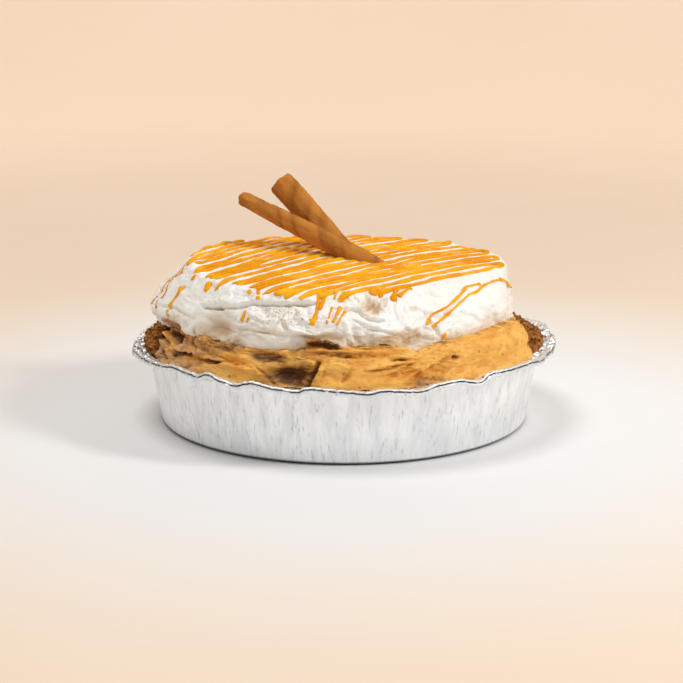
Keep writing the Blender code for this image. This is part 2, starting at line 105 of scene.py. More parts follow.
# Long creases in the wall: start angle and height, end angle and height, half width, depth
TIN_CREASES = (
    (-106.1, 40, -102.2, 8, 0.6, 0.5), (-113.6, 31, -113, 24, 0.7, 0.5),
    (-59.6, 33, -62.4, 22, 0.7, 0.5), (-126, 36, -122, 16, 0.5, 0.3), (-84, 34, -82, 14, 0.5, 0.3),
    (-38, 39, -43, 12, 0.7, 0.6), (-20, 36, -24, 14, 0.5, 0.4), (12, 38, 16, 10, 0.6, 0.5),
    (48, 40, 44, 18, 0.6, 0.4), (84, 36, 90, 8, 0.6, 0.5), (128, 40, 124, 20, 0.6, 0.4),
    (158, 34, 163, 8, 0.6, 0.5), (-162, 36, -158, 12, 0.6, 0.4),
)

# Crust
CRUST_COLUMNS = 900
CRUST_THICKNESS = 5.8
CRUST_GAP = 0.35
CRUST_TOP = 47.3
CRUST_TOP_UNDER_SPILL = 41.4
CRUST_FLARE = 3.4
CRUST_ROUNDING = 1.2

# Filling
PIE_COLUMNS = 900
FRONT_ANGLE = -90.0
FRONT_FINENESS = 0.42
SPILL_START = -167.0
SPILL_END = -10.0
SPILL_FADE = 12.0
FILLING_FOOT = 42.6
FILLING_FORM_FOOT = 44.5
FILLING_FOOT_FLARE = 5.2
FILLING_SPILL_RADIUS = 104.2
FILLING_SPILL_BULGE = 2.6
FILLING_RADIUS = 97.6
SEAT_HEIGHT = 60.0
# Lobes and hollows of a side: angle, height, half width in degrees, half height, swell
FILLING_LOBES = (
    (-119.5, 49.5, 10, 6.5, 2.2), (-105, 48.5, 9, 9.5, -7.5), (-86, 50, 13, 9.5, 3),
    (-65, 47, 9, 5, -3.4), (-36, 52.5, 27, 10, 1.9), (-150, 56, 9, 5.5, -3.8),
    (-137, 49.5, 9, 3.6, -2.6), (-156, 48, 12, 5, 1.6), (-152, 56.3, 4.6, 3.4, -4.5),
    (-112.5, 56.5, 8, 4, -3.4), (-57.1, 54.5, 1.7, 1.6, -2.4), (-130, 57, 9, 2.6, -1.4),
)
# Smooth places of the filling: angle, height, half width, half height, and how smooth
FILLING_CALM = (
    (-119.5, 46.5, 12, 5, 0.7), (-88, 48, 13, 9, 0.95), (-34, 52, 26, 13, 0.75),
)
# Hollows of the filling, darkened brown as painted shade: angle, height, half width, half height,
# and how strongly
FILLING_PAINTED_SHADE = (
    (-105.5, 45.5, 12, 9.5, 0.85), (-112, 56, 8, 4.2, 0.9), (-100.5, 50, 3.5, 9, 0.9),
    (-128, 57.5, 11, 3.2, 0.6), (-152, 56.6, 6, 4.2, 1), (-144, 50.2, 6, 1.4, 0.8),
    (-132, 50.2, 6, 1, 0.5), (-91, 60.6, 13, 1.1, 0.6), (-96, 65, 8, 2.6, 1), (-66, 43.5, 8, 4.5, 0.85),
    (-57.1, 54.5, 1.7, 1.7, 0.9), (-74, 56.7, 3.6, 0.9, 0.8), (-79, 52.4, 6, 0.7, 0.5),
    (-160, 51, 7, 1.6, 0.5),
)
# Folds cut by a spatula: start angle, start height, end angle, end height, half width, depth
FILLING_FOLDS = (
    (-96.2, 57.5, -99.8, 42.5, 1.3, 3), (-149.5, 49.3, -138.5, 51.4, 1, 2.2),
    (-138, 49.6, -127, 51, 0.8, 1.6), (-101, 60.6, -76, 58.9, 0.8, 1.7),
    (-101.5, 65.2, -90.5, 64.4, 1.6, 3.6), (-90, 59.4, -84, 58.2, 0.7, 1.2),
    (-85, 51.6, -70.5, 54.6, 0.8, 1.6), (-77, 57.2, -70.5, 56.4, 0.7, 1.5),
    (-91, 46.5, -88, 53, 1.3, 1.5), (-76, 43, -60, 54, 1, 1.5), (-72, 46.5, -57, 57.5, 0.9, 1.1),
    (-80, 47, -66, 57.5, 0.9, 1), (-62, 44, -54, 50, 1.1, 1.3), (-50, 60.5, -32, 61.5, 0.9, 0.9),
    (-160, 51, -150, 46, 1, 1.8), (-164, 55, -153, 53, 1, 1.6),
)
# Edges where one layer stands out over the next: (angle, height) stops, how far it stands out,
# how far up it reaches (down, if negative), and how deep the crease under it is
FILLING_LEDGES = (
    (((-141, 42.8), (-129, 49.4), (-125, 51.8), (-121.4, 51.2), (-114.5, 50.8), (-111.8, 47.1),
      (-108.4, 42)), 1.6, -6, 1.2),
    (((-139, 57.2), (-131, 55.4), (-124, 54.2), (-118, 53.6)), 1.2, 4, 1.3),
    (((-117.5, 51.6), (-112, 53.6), (-106.5, 54.4), (-99, 56.8)), 0.5, -4, 0.3),
    (((-168, 52), (-160, 54.6), (-152, 52.6)), 1.4, 3.5, 1.6),
)

# Cream
LIP_HEIGHTS = (
    (-180, 52), (-164, 57.5), (-156, 58.5), (-146.7, 59.6), (-140.4, 57.6),
    (-138, 59.6), (-127, 59.2), (-123.9, 57.7), (-122.5, 58.4), (-121, 56.9),
    (-119.4, 58.4), (-104.1, 59.5), (-101.2, 61), (-100.5, 65.2), (-96.9, 65.6),
    (-91.8, 64.6), (-90.2, 62.4), (-77.8, 62.9), (-73.2, 60.8), (-67.8, 58.3), (-62.5, 60.2),
    (-58.3, 61.5), (-48.6, 62.8), (-39.3, 62.9), (-30, 63.6), (-22, 61.6), (0, 56),
    (45, 56.5), (90, 55), (140, 57),
)
SEAT_RADII = (
    (-180, 97.5), (-150, 98.5), (-90, 98.5), (-52, 97), (0, 91.5), (90, 95),
)
LIP_OVERHANGS = (
    (-180, 4), (-140, 3), (-120, 2.4), (-45, 2.4), (0, 1.4), (90, 3),
)
GIRTH_RADII = (
    (-180, 109), (-150, 105.5), (-120, 102), (-90, 100.6), (-52, 99.5), (0, 93.6), (90, 99), (150, 104),
)
PLATEAU_RADII = (
    (-180, 84.5), (-160, 87), (-128, 89.5), (-90, 86.5), (-52, 80.5), (-20, 88),
    (0, 90.4), (45, 83), (90, 79.5), (125, 77), (155, 81.5),
)
EDGE_HEIGHTS = (
    (-180, 91.6), (-150, 88.8), (-120, 87.6), (-60, 86.5), (0, 88.4), (60, 88.2),
    (100, 88.4), (130, 90.4), (158, 92.4),
)
PLATEAU_HEIGHT = 90.8
PLATEAU_DIP = (24, -14, 18, 0.5)
LIP_SOFTENING = 9.0
GIRTH_LEVEL = 0.3
SHOULDER_SLOPE = 1.35
CREAM_LOBES = (
    (-36, 72, 24, 14, 1.8), (-58, 74, 7, 10, -1.6), (-92, 76, 14, 9, 1.4), (170, 62, 24, 9, 1.6),
    (118, 70, 20, 12, -2), (60, 66, 24, 10, 2), (-130, 67, 7.5, 9.5, -4.6), (-143, 64, 6, 6, 1.6),
    (-154, 60.5, 7.5, 4.5, -3), (-112, 62.5, 12, 6.5, 1.8), (-81, 82.5, 5, 5, -2.4),
    (-71.5, 66, 8.5, 4.6, -2.2), (-38, 69, 7, 6.5, -1.5), (-50, 67, 9, 6, 1.3),
)
CREAM_STROKES = (
    (-109.9, 75.2, -105.6, 69.6, 1, 1.6), (-105.8, 70.2, -100.5, 68, 0.9, 1),
    (-139.6, 69, -138.2, 59, 1, 2), (-148.5, 70, -143, 59.5, 0.8, 0.9), (-152, 72, -149.5, 61, 0.9, 1),
    (-158, 76, -154, 60, 1.2, 1.2), (-141, 73.5, -126, 77.5, 1, -1),
    (-89.8, 76, -86.6, 63.5, 1.5, -1.5), (-97.5, 66.2, -91.5, 66, 1.2, -0.9),
    (-66.5, 80, -57, 74, 1.4, 1.2), (-62.5, 79, -60, 64, 1.3, 1.4), (-52, 76.5, -42, 68.5, 1.2, 0.9),
    (-45, 77, -33, 69, 1, 0.7), (-36, 76, -33, 64.5, 1.6, 1), (-22, 80, -16, 64, 1.8, 1.2),
    (-6, 82, 4, 62, 2, 1.8), (20, 80, 58, 66, 2.4, 2.4), (50, 76, 96, 72, 2.2, 2.2),
    (86, 82, 128, 64, 2.4, 2.4), (124, 78, 166, 70, 2.2, 2.2),
)
CREAM_LEDGES = (
    (((-139, 77.4), (-129.6, 78.4), (-124.5, 79.4), (-119.9, 82.2), (-114.5, 82.4), (-106.1, 83.6),
      (-100, 84.2)), 1.5, 5.5, 2),
    (((-124, 69.9), (-119.1, 69.7), (-115.5, 69.1), (-109.5, 69.1), (-101, 68.3)), 1, 5, 0.9),
    (((-87.9, 81.1), (-85.7, 80.8), (-83.6, 78.2), (-80.4, 76.5), (-77, 75.4)), 1.4, 5, 1.5),
    (((-86.4, 76), (-83.4, 73.5), (-80.1, 71.7), (-75, 68.8)), 1.2, 4.5, 1.1),
    (((-79.5, 67.6), (-75, 68.2), (-72.5, 69.3), (-71.2, 71.2), (-68.8, 69.4), (-64.8, 71),
      (-61.5, 69)),
     1.3, 4, 0.5),
    (((-162, 70), (-152, 72.5), (-142, 71)), 0.9, 5, 0.9),
    (((28, 78), (50, 74), (74, 77)), 1.6, 6, 1.6), (((96, 76), (120, 79), (150, 74)), 1.6, 6, 1.8),
    (((4, 68), (22, 72), (40, 66)), 1.4, 6, 1.4), (((140, 70), (160, 66), (178, 72)), 1.4, 5, 1.4),
)
# Smooth places of the cream: angle, height, half width, half height, and how smooth
CREAM_CALM = (
    (-30, 74, 28, 16, 1), (-130, 67, 8, 9.5, 1), (-112, 62.5, 13, 6, 0.8), (-150, 80, 14, 8, 0.5),
)
# Where pumpkin stains the cream, and where beige shade is painted on its shaded faces: angle,
# height, half width, half height, and how strongly
CREAM_STAINS_AND_SHADE = (
    (-130, 65, 13, 12, 0.6), (-155, 60.5, 9.5, 5, 1), (-148, 66, 9, 7, 0.5), (-104, 62, 16, 6, 0.4),
    (-84, 66, 10, 6, 0.55), (-81, 82, 5.5, 6, 0.8), (-71.5, 66, 12, 6.5, 1), (-96, 67, 12, 5, 0.8),
    (-118, 66, 9, 3, 0.4), (-66.6, 78.9, 3.2, 1.8, 0.8), (-114, 70, 12, 2.5, 0.45),
    (-38, 69, 6.5, 6, 0.2), (-62, 71, 5, 9, 0.2), (-20, 66, 8, 4, 0.2), (70, 62, 14, 6, 0.5),
    (130, 66, 12, 7, 0.5),
)
# Small marks of the cream: angle, height, half width, half height, and how strongly
CREAM_DIMPLES = ((-118, 85, 20, 3.6, 1),)
CREAM_RIBS = ((-71.5, 66.5, 8.5, 5, 1),)
CREAM_ROUGH = ((-80.5, 82, 6, 6, 1), (-107, 76, 16, 5, 0.35))
# Dark holes and a crease line, shown by painted shade
CREAM_HOLE_SHADE = ((-155, 62, 9, 4.6, 1), (-139, 62, 1.6, 4, 0.7))
CREAM_DUST = ((-108, 76.5, 17, 6, 1),)
STREWN_DUST = ((-108, 77, 17, 6.5, 1), (-115, 79.5, 6, 3, 2))

# Drizzle
DRIZZLE_LINES = 24
DRIZZLE_SPACING = 7.5
DRIZZLE_ANGLE = 49.0
DRIZZLE_FAN = 0.11
DRIZZLE_STEP = 1.2
DRIZZLE_HALF_WIDTH = 1.95
DRIZZLE_LIFT = 0.3
DRIZZLE_SINK = 1.2
DRIZZLE_NEAR = (-2, 4)
DRIZZLE_FAR = (-6.5, -3.5)
DRIZZLE_BACK = 3.2
DRIZZLE_BACK_ANGLES = (60, 110)
DRIZZLE_REACH = 115.0
DRIZZLE_POOLING = 0.6
TOP_BLOB = 0.12
RUN_BLOB = 0.35
SHORTEST_TRAIL = 8
POOL = (26, -12)
POOL_RADIUS = 52.0
# Runs and stubs on the cream's side: where each stop shows in the photo's frame, in pixels from
# its upper left corner, and then the half width in millimetres
SEEN_RUNS = (
    ((319, 291), (318.5, 302), (316.5, 314), (310.5, 326.5), 1.15),
    ((326, 291), (323.5, 301), (319, 311), 0.9), ((332.3, 307), (329, 317), (326, 325), 0.55),
    ((340.5, 306.5), (337, 315), (332, 324), 0.8), ((345.5, 311), (341, 318), (336, 326.5), 0.65),
    ((336.5, 292.5), (334, 301), 0.6), ((344, 292), (341, 301.5), 0.7),
    ((349.5, 291.5), (347, 299.5), 0.65), ((246, 310.5), (243.5, 316), (241, 322), 0.75),
    ((249, 317.5), (246, 323.5), 0.75), ((258.5, 290), (258, 301), 0.9),
    ((250, 290), (248.5, 295.5), 1.2), ((211, 282), (208, 287.5), (204.8, 293), 1.5),
    ((196, 275), (193.5, 278.5), (191, 281.5), 1.3), ((286, 288), (285, 293.5), 1.2),
    ((183, 286.5), (176, 297), (168.5, 308), 1.25), ((167.5, 309.5), (167.5, 314), (169, 318), 0.8),
    ((376, 288), (371, 294), 1.6), ((384, 288), (379, 299), 1),
    ((399, 287), (395, 293), (392.5, 302.5), 1.6), ((410, 288.5), (403, 292.5), (397.5, 298), 1),
    ((502, 279.5), (493.4, 281), (482, 286.4), (477.2, 291.8), (469, 294.6), (450.6, 311.6),
     (437, 324), (434.2, 324.8), (432.5, 329.8), 0.72),
    ((480.5, 283.8), (465.3, 286.8), (462, 293.2), (448, 306.6), (436.3, 312.5), (431.8, 313.8),
     (425.8, 326), 0.72),
    ((499, 279), (505, 281), (509, 286), (514, 289), 0.85), ((442.5, 334.5), (446, 338.5), 1.3),
)
# Runs at the left edge and on the hidden side: angle and height of each stop, and then the half
# width
RUNS = (
    ((181, 88.5), (184, 80), (187, 72), (189, 66), 0.95), ((186, 88), (190, 78), (195, 66), 0.85),
    ((38, 86), (34, 72), 1.2), ((118, 86), (122, 74), 1.2), ((92, 86), (90, 78), 1.1),
)

# Cinnamon quills: free end, buried end, and the radius at even steps from one to the other
QUILLS = {
    "cinnamon_stick_thin": ((-59.1, 36, 119), (32, -21, 82.4), (4.9, 5.8, 6.6, 6.7, 4.6)),
    "cinnamon_stick_thick": ((-36.8, 40, 127.9), (11.2, 20, 76.8), (8.5, 8.5, 8.2, 7.8, 7)),
}
BARK_THICKNESS = 0.9
BARK_GAP = 0.3
BARK_TURNS = 3.0
BARK_WEAR = 2.4
BARK_TURN_POINTS = 52
BARK_ROWS = 120
QUILL_SEAM = 2.6

# Light
# Each lamp: name, place and target's height in metres, size, power and tint
LAMPS = (
    ("key", (1.15, -0.45, 0.95), 0.06, 0.32, 9.5, (1.0, 0.985, 0.965)),
    ("sky", (-0.4, -0.12, 1.6), 0.05, 0.8, 9.5, (1.0, 0.99, 0.975)),
    ("front", (0.35, -1.5, 0.75), 0.05, 0.9, 0.8, (1.0, 0.98, 0.95)),
)
AIR_STRENGTH = 0.42
BACKDROP_GLOW = 0.34


def smooth(low, high, x):
    """0 below low, 1 above high, and an S curve between them."""
    t = np.clip((x - low) / (high - low), 0.0, 1.0)
    return t * t * (3.0 - 2.0 * t)


def blend(a, b, share):
    return a + (b - a) * share


def apart(angle, centre):
    """The angle from centre to angle, within half a turn."""
    return (angle - centre + 180.0) % 360.0 - 180.0


def hump(distance, half_width):
    """A rounded bump: 1 at no distance, 0 from the half width on."""
    share = np.minimum(1.0, np.abs(distance) / half_width)
    return (1.0 - share * share) ** 2


def around(angle, stops):
    """A value that passes through (angle, value) stops in order, all the way round."""
    turn = apart(np.asarray(angle, float), 0.0)
    value = np.full(turn.shape, float(stops[0][1]))
    closed = (*stops, (stops[0][0] + 360.0, stops[0][1]))
    for (low, first), (high, second) in zip(closed, closed[1:]):
        inside = (turn >= low) & (turn < high)
        value = np.where(inside, blend(first, second, smooth(low, high, turn)), value)
    return value


def scramble(x, y, z, seed):
    """A repeatable whole number for each lattice corner."""
    mixed = x * 73856093 ^ y * 19349663 ^ z * 83492791 ^ (seed + 1) * 2654435761
    mixed = (mixed ^ (mixed >> 15)) * 2246822519 & 0xFFFFFFFF
    mixed = (mixed ^ (mixed >> 13)) * 3266489917 & 0xFFFFFFFF
    return mixed ^ (mixed >> 16)


def noise(x, y, z, seed=0):
    """Smooth gradient noise, about -1 to 1."""
    x, y, z = np.broadcast_arrays(x, y, z)
    cells = [np.floor(axis).astype(np.int64) for axis in (x, y, z)]
    parts = [axis - cell for axis, cell in zip((x, y, z), cells)]
    fades = [part ** 3 * (part * (part * 6.0 - 15.0) + 10.0) for part in parts]
    total = np.zeros(x.shape)
    for corner in itertools.product((0, 1), repeat=3):
        mixed = scramble(*(cell + step for cell, step in zip(cells, corner)), seed)
        slopes = [((mixed >> shift) & 1023) / 511.5 - 1.0 for shift in (0, 10, 20)]
        value = sum(slope * (part - step) for slope, part, step in zip(slopes, parts, corner))
        weight = 1.0
        for fade, step in zip(fades, corner):
            weight = weight * (fade if step else 1.0 - fade)
        total += value * weight
    return total * 1.5


def fractal(x, y, z, octaves, seed=0, gain=0.5):
    """Noise summed over finer and finer copies of itself."""
    total, size = 0.0, 1.0
    for octave in range(octaves):
        total = total + size * noise(x, y, z, seed + octave)
        x, y, z, size = x * 2.03, y * 2.03, z * 2.03, size * gain
    return total


def creased(x, y, z, octaves, seed=0):
    """Noise with sharp crests and smooth bowls, 0 to about 1."""
    total, size, scale = 0.0, 1.0, 0.0
    for octave in range(octaves):
        crest = 1.0 - np.minimum(1.0, np.abs(noise(x, y, z, seed + octave)) * 1.6)
        total = total + size * crest * crest
        scale += size
        x, y, z, size = x * 2.07, y * 2.07, z * 2.07, size * 0.5
    return total / scale


def ripple(angle, waves, seed):
    """Uneven waves round a circle, about -1 to 1."""
    turn = np.radians(angle)
    reach = waves / (2.0 * math.pi)
    return noise(reach * np.cos(turn), reach * np.sin(turn), 0.5, seed)


def winding(angle, radius):
    """A finder of noise that runs round a side, given how wide and how high its forms are."""
    turn = np.radians(angle)[None, :]
    x, y = radius * np.cos(turn), radius * np.sin(turn)

    def field(height, wide, rise, *rest, kind=noise):
        return kind(x / wide, y / wide, height / rise, *rest)
    return field


def grids(rows, angle):
    """Each item of the rows as a grid of its own, with a value at each angle."""
    return [np.array([row[item] + 0.0 * angle for row in rows]) for item in range(len(rows[0]))]


def lobed(angle, height, lobes):
    """The swell of a side's lobes and hollows."""
    return sum(
        swell * hump(apart(angle, centre), half_width) * hump(height - level, half_height)
        for centre, level, half_width, half_height, swell in lobes
    )


def terraced(field, steps, sharpness):
    """A smooth field turned into flat treads with short, steep risers between them."""
    scaled = field * steps
    whole = np.floor(scaled)
    return (whole + smooth(1.0 - sharpness, 1.0, scaled - whole)) / steps


def front_fine(columns):
    """Angles all the way round, closest together on the shown side."""
    even = np.linspace(-180.0, 180.0, columns, endpoint=False)
    return FRONT_ANGLE + even - np.degrees(FRONT_FINENESS * np.sin(np.radians(even)))


def soft_lip(angle):
    """The cream's lower edge without its small steps."""
    shifts = np.linspace(-LIP_SOFTENING, LIP_SOFTENING, 7)
    return sum(around(angle + shift, LIP_HEIGHTS) for shift in shifts) / len(shifts)


def spotted(angle, height, spots):
    """How far each place lies within any of the spots, 0 to 1."""
    share = np.zeros(np.broadcast(angle, height).shape)
    for centre, level, half_width, half_height, strength in spots:
        across, up = apart(angle, centre) / half_width, (height - level) / half_height
        share = np.maximum(share, strength * (1.0 - smooth(0.35, 1.0, np.hypot(across, up))))
    return share


def ledged(angle, height, ledges):
    """The relief of layers that stand out over their lower edges, with a crease under each."""
    turn = apart(angle, 0.0)
    relief = np.zeros(np.broadcast(angle, height).shape)
    for number, (stops, proud, reach, crease) in enumerate(ledges):
        angles, levels = zip(*stops)
        wander = 0.5 * noise(turn * 0.45, 0.0, 0.0, 500 + number)
        above = (height - np.interp(turn, angles, levels) - wander) * math.copysign(1.0, reach)
        fade = smooth(angles[0] - 3.0, angles[0] + 2.0, turn)
        fade = fade * (1.0 - smooth(angles[-1] - 2.0, angles[-1] + 3.0, turn))
        roll = smooth(-0.3, 0.5, above) * (1.0 - smooth(0.2 * abs(reach), abs(reach), above))
        relief += fade * (proud * roll - crease * hump(above + 0.7, 1.1))
    return relief


def stroked(angle, height, strokes, radius, lip=0.45):
    """The relief of spatula strokes: a groove with a raised lip above it, fading at its ends."""
    relief = np.zeros(np.broadcast(angle, height).shape)
    for start, start_height, end, end_height, half_width, depth in strokes:
        along = np.radians(apart(angle, start)) * radius
        reach = math.radians(end - start) * radius
        rise = end_height - start_height
        length = math.hypot(reach, rise)
        forward = (along * reach + (height - start_height) * rise) / length
        sideways = (-along * rise + (height - start_height) * reach) / length
        fade = smooth(-1.0, 0.25 * length, forward)
        fade = fade * (1.0 - smooth(0.8 * length, length + 2.0, forward))
        sideways = sideways + 0.9 * noise(forward / 6.0, 0.0, 0.0, int(abs(start)))
        groove = -depth * hump(np.where(sideways > 0.0, sideways, sideways * 0.45), half_width)
        ridge = depth * lip * hump(sideways - 1.5 * half_width, 1.6 * half_width)
        relief += fade * (groove + ridge)
    return relief


def spill(angle):
    """1 where the filling covers the crust's top, 0 where the crust shows."""
    start = smooth(SPILL_START, SPILL_START + SPILL_FADE, apart(angle, 0.0))
    return start * (1.0 - smooth(SPILL_END - SPILL_FADE, SPILL_END, apart(angle, 0.0)))


def polar(angle, radius, height):
    """Points from angle, radius and height arrays."""
    turn = np.radians(angle)
    radius, height, turn = np.broadcast_arrays(radius, height, turn)
    return np.stack([radius * np.cos(turn), radius * np.sin(turn), height], axis=-1)


def pushed(points, distance):
    """Grid points moved along the surface's outward direction."""
    along = np.roll(points, -1, axis=1) - np.roll(points, 1, axis=1)
    across = np.gradient(points, axis=0)
    normal = np.cross(along, across)
    normal /= np.maximum(1e-9, np.linalg.norm(normal, axis=-1, keepdims=True))
    return points + normal * distance[..., None]


def mark_points(mesh, name, values):
    """A point attribute with its values."""
    column = mesh.attributes.new(name, "FLOAT", "POINT")
    column.data.foreach_set("value", np.ravel(values).astype(np.float32))


def linked(name, data):
    """A new object in the scene."""
    thing = bpy.data.objects.new(name, data)
    bpy.context.scene.collection.objects.link(thing)
    return thing


def skin(name, points, material, marks=None):
    """A closed piece from a grid of points that runs round Z, with a pole below and above.

    marks is a dictionary of point attributes on the same grid.
    """
    rows, columns = points.shape[:2]
    poles = [np.array([0.0, 0.0, points[row, :, 2].mean()]) for row in (0, -1)]
    places = np.concatenate([points.reshape(-1, 3), poles]) * MM
    index = np.arange(rows * columns).reshape(rows, columns)
    after = np.roll(index, -1, axis=1)
    quads = np.stack([index[:-1], after[:-1], after[1:], index[1:]], axis=-1).reshape(-1, 4)
    low = np.stack([after[0], index[0], np.full(columns, rows * columns)], axis=-1)
    high = np.stack([index[-1], after[-1], np.full(columns, rows * columns + 1)], axis=-1)
    corners = np.concatenate([quads.ravel(), low.ravel(), high.ravel()])
    starts = np.concatenate([
        np.arange(len(quads)) * 4,
        len(quads) * 4 + np.arange(2 * columns) * 3,
    ])
    mesh = bpy.data.meshes.new(name)
    mesh.vertices.add(len(places))
    mesh.vertices.foreach_set("co", places.ravel())
    mesh.loops.add(len(corners))
    mesh.loops.foreach_set("vertex_index", corners)
    mesh.polygons.add(len(starts))
    mesh.polygons.foreach_set("loop_start", starts)
    mesh.update(calc_edges=True)
    mesh.validate()
    mesh.shade_smooth()
    for mark, values in (marks or {}).items():
        mark_points(mesh, mark, np.append(values.ravel(), (0.0, 0.0)))
    mesh.materials.append(material)
    return linked(name, mesh)


def placed(thing, slot, *nodes):
    """Rides a piece on the pie and hides the nodes it stands for; its slot is not used."""
    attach(thing, BODY)
    if nodes:
        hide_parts(*nodes)
    return thing


# Node trees and shader groups

def fill(tree, node, values):
    """Sets a node's inputs by name or number, or links those whose value is a socket."""
    for key, value in values.items():
        if isinstance(value, bpy.types.NodeSocket):
            tree.links.new(value, node.inputs[key])
        else:
            node.inputs[key].default_value = value
    return node


def add(tree, kind, values=None, **settings):
    """A node with its settings and its inputs."""
    node = tree.nodes.new(kind)
    for key, value in settings.items():
        setattr(node, key, value)
    return fill(tree, node, values or {})


def maths(tree, operation, first, second):
    return add(tree, "ShaderNodeMath", {0: first, 1: second}, operation=operation).outputs[0]


def stretched(tree, place, stretch):
    return add(tree, "ShaderNodeVectorMath", {0: place, 1: stretch}, operation="MULTIPLY").outputs[0]


def in_place(tree):
    return add(tree, "ShaderNodeTexCoord").outputs["Object"]


def cloudy(tree, place, scale, detail, **more):
    values = {"Vector": place, "Scale": scale, "Detail": detail, **more}
    return add(tree, "ShaderNodeTexNoise", values).outputs["Fac"]


def ranged(tree, value, low, high, kind="SMOOTHSTEP"):
    """A value turned to 0 at low and to 1 at high."""
    values = {"Value": value, "From Min": low, "From Max": high}
    return add(tree, "ShaderNodeMapRange", values, interpolation_type=kind).outputs["Result"]


def spread(tree, share, low, high):
    """A share from 0 to 1 turned to a value from low to high."""
    values = {"Value": share, "To Min": low, "To Max": high}
    return add(tree, "ShaderNodeMapRange", values).outputs["Result"]


def mix(tree, factor, first, second):
    return add(tree, "ShaderNodeMix", {0: factor, 6: first, 7: second}, data_type="RGBA").outputs[2]


def shader_group(name, inputs, outputs):
    group = bpy.data.node_groups.new(name, "ShaderNodeTree")
    for label, kind, value in inputs:
        socket = group.interface.new_socket(label, in_out="INPUT", socket_type="NodeSocket" + kind)
        socket.default_value = value
    for label, kind in outputs:
        group.interface.new_socket(label, in_out="OUTPUT", socket_type="NodeSocket" + kind)
    return group, group.nodes.new("NodeGroupInput").outputs, group.nodes.new("NodeGroupOutput")


def make_mottle():
    """Two colours in soft patches: their size, how far they stretch, and how hard they meet."""
    group, given, result = shader_group("mottle", (
        ("Light", "Color", (1, 1, 1, 1)), ("Dark", "Color", (0, 0, 0, 1)), ("Scale", "Float", 100.0),
        ("Stretch", "Vector", (1, 1, 1)), ("Low", "Float", 0.35), ("High", "Float", 0.65),
    ), (("Color", "Color"), ("Mask", "Float")))
    place = stretched(group, in_place(group), given["Stretch"])
    pattern = cloudy(group, place, given["Scale"], 5.0, Roughness=0.6)
    mask = ranged(group, pattern, given["Low"], given["High"])
    fill(group, result, {"Color": mix(group, mask, given["Light"], given["Dark"]), "Mask": mask})


def make_grain():
    """Fine relief: a coarse and a fine noise, stretched one way, as a height."""
    group, given, result = shader_group("grain", (
        ("Scale", "Float", 400.0), ("Stretch", "Vector", (1, 1, 1)), ("Fine", "Float", 0.4),
    ), (("Height", "Float"),))
    place = stretched(group, in_place(group), given["Stretch"])
    coarse = cloudy(group, place, given["Scale"], 3.0)
    fine = cloudy(group, place, maths(group, "MULTIPLY", given["Scale"], 4.3), 2.0)
    height = maths(group, "ADD", coarse, maths(group, "MULTIPLY", fine, given["Fine"]))
    fill(group, result, {"Height": height})


def make_specks():
    """Scattered specks, such as ground spice: their size and how many."""
    group, given, result = shader_group("specks", (
        ("Scale", "Float", 900.0), ("Amount", "Float", 0.2),
    ), (("Mask", "Float"),))
    cells = add(group, "ShaderNodeTexVoronoi", {"Vector": in_place(group), "Scale": given["Scale"]})
    chosen = maths(group, "LESS_THAN", cells.outputs["Color"], given["Amount"])
    near = ranged(group, cells.outputs["Distance"], 0.42, 0.3, "LINEAR")
    fill(group, result, {"Mask": maths(group, "MULTIPLY", chosen, near)})


# Materials

def new_material(name, roughness, **fixed):
    """A material and its tree, with its shader's own values; _ stands for a space in their names."""
    material = bpy.data.materials.new(name)
    material.use_nodes = True
    tree = material.node_tree
    values = {label.replace("_", " "): value for label, value in fixed.items()}
    fill(tree, tree.nodes["Principled BSDF"], {"Roughness": roughness, **values})
    return material, tree


def finished(material, tint, height=None, strength=1.0, distance=0.001, **more):
    """Links a material's colour, relief and other inputs to its shader."""
    tree = material.node_tree
    if height is not None:
        bump = {"Height": height, "Strength": strength, "Distance": distance}
        more["Normal"] = add(tree, "ShaderNodeBump", bump).outputs["Normal"]
    fill(tree, tree.nodes["Principled BSDF"], {"Base Color": tint, **more})
    return material


def use(tree, group, **values):
    """A shader group placed in a material with its own values."""
    node = add(tree, "ShaderNodeGroup", node_tree=bpy.data.node_groups[group])
    return fill(tree, node, values).outputs


def colour(red, green, blue):
    """A colour given as it looks on a screen, from 0 to 255, turned to linear light."""
    shares = [value / 255.0 for value in (red, green, blue)]
    linear = [s / 12.92 if s < 0.04045 else ((s + 0.055) / 1.055) ** 2.4 for s in shares]
    return (*linear, 1.0)


def mottled(tree, light, dark, scale, **values):
    """The outputs of two mottled colours."""
    return use(tree, "mottle", Light=colour(*light), Dark=colour(*dark), Scale=scale, **values)


def masked(tree, group, share, **values):
    """A share of a group's mask."""
    return maths(tree, "MULTIPLY", use(tree, group, **values)["Mask"], share)


def grained(tree, **values):
    return use(tree, "grain", **values)["Height"]


def marked(tree, name):
    """The value of a piece's own point attribute."""
    return add(tree, "ShaderNodeAttribute", attribute_name=name).outputs["Fac"]


def cream_material():
    material, tree = new_material(
        "whipped_cream", 0.5, Subsurface_Weight=0.2, Subsurface_Scale=0.003,
        Subsurface_Radius=(1.0, 0.86, 0.72), Specular_IOR_Level=0.3,
    )
    body = mottled(tree, (253, 252, 249), (249, 246, 238), 60.0)["Color"]
    # Pumpkin stain colour, also used as painted beige shade on faces turned from the light
    stain_and_shade = mottled(tree, (226, 200, 160), (206, 170, 122), 140.0, Stretch=(1.0, 1.0, 1.8))["Color"]
    tint = mix(tree, marked(tree, "tint"), body, stain_and_shade)
    # Painted shade, beige brown, in creases and holes
    tint = mix(tree, marked(tree, "hollow_shade"), tint, colour(188, 148, 98))
    dusty = masked(tree, "specks", marked(tree, "dust"), Scale=760.0, Amount=0.6)
    tint = mix(tree, dusty, tint, colour(206, 152, 92))
    return finished(material, tint, grained(tree, Scale=300.0, Fine=0.5), 0.3, 0.0005)


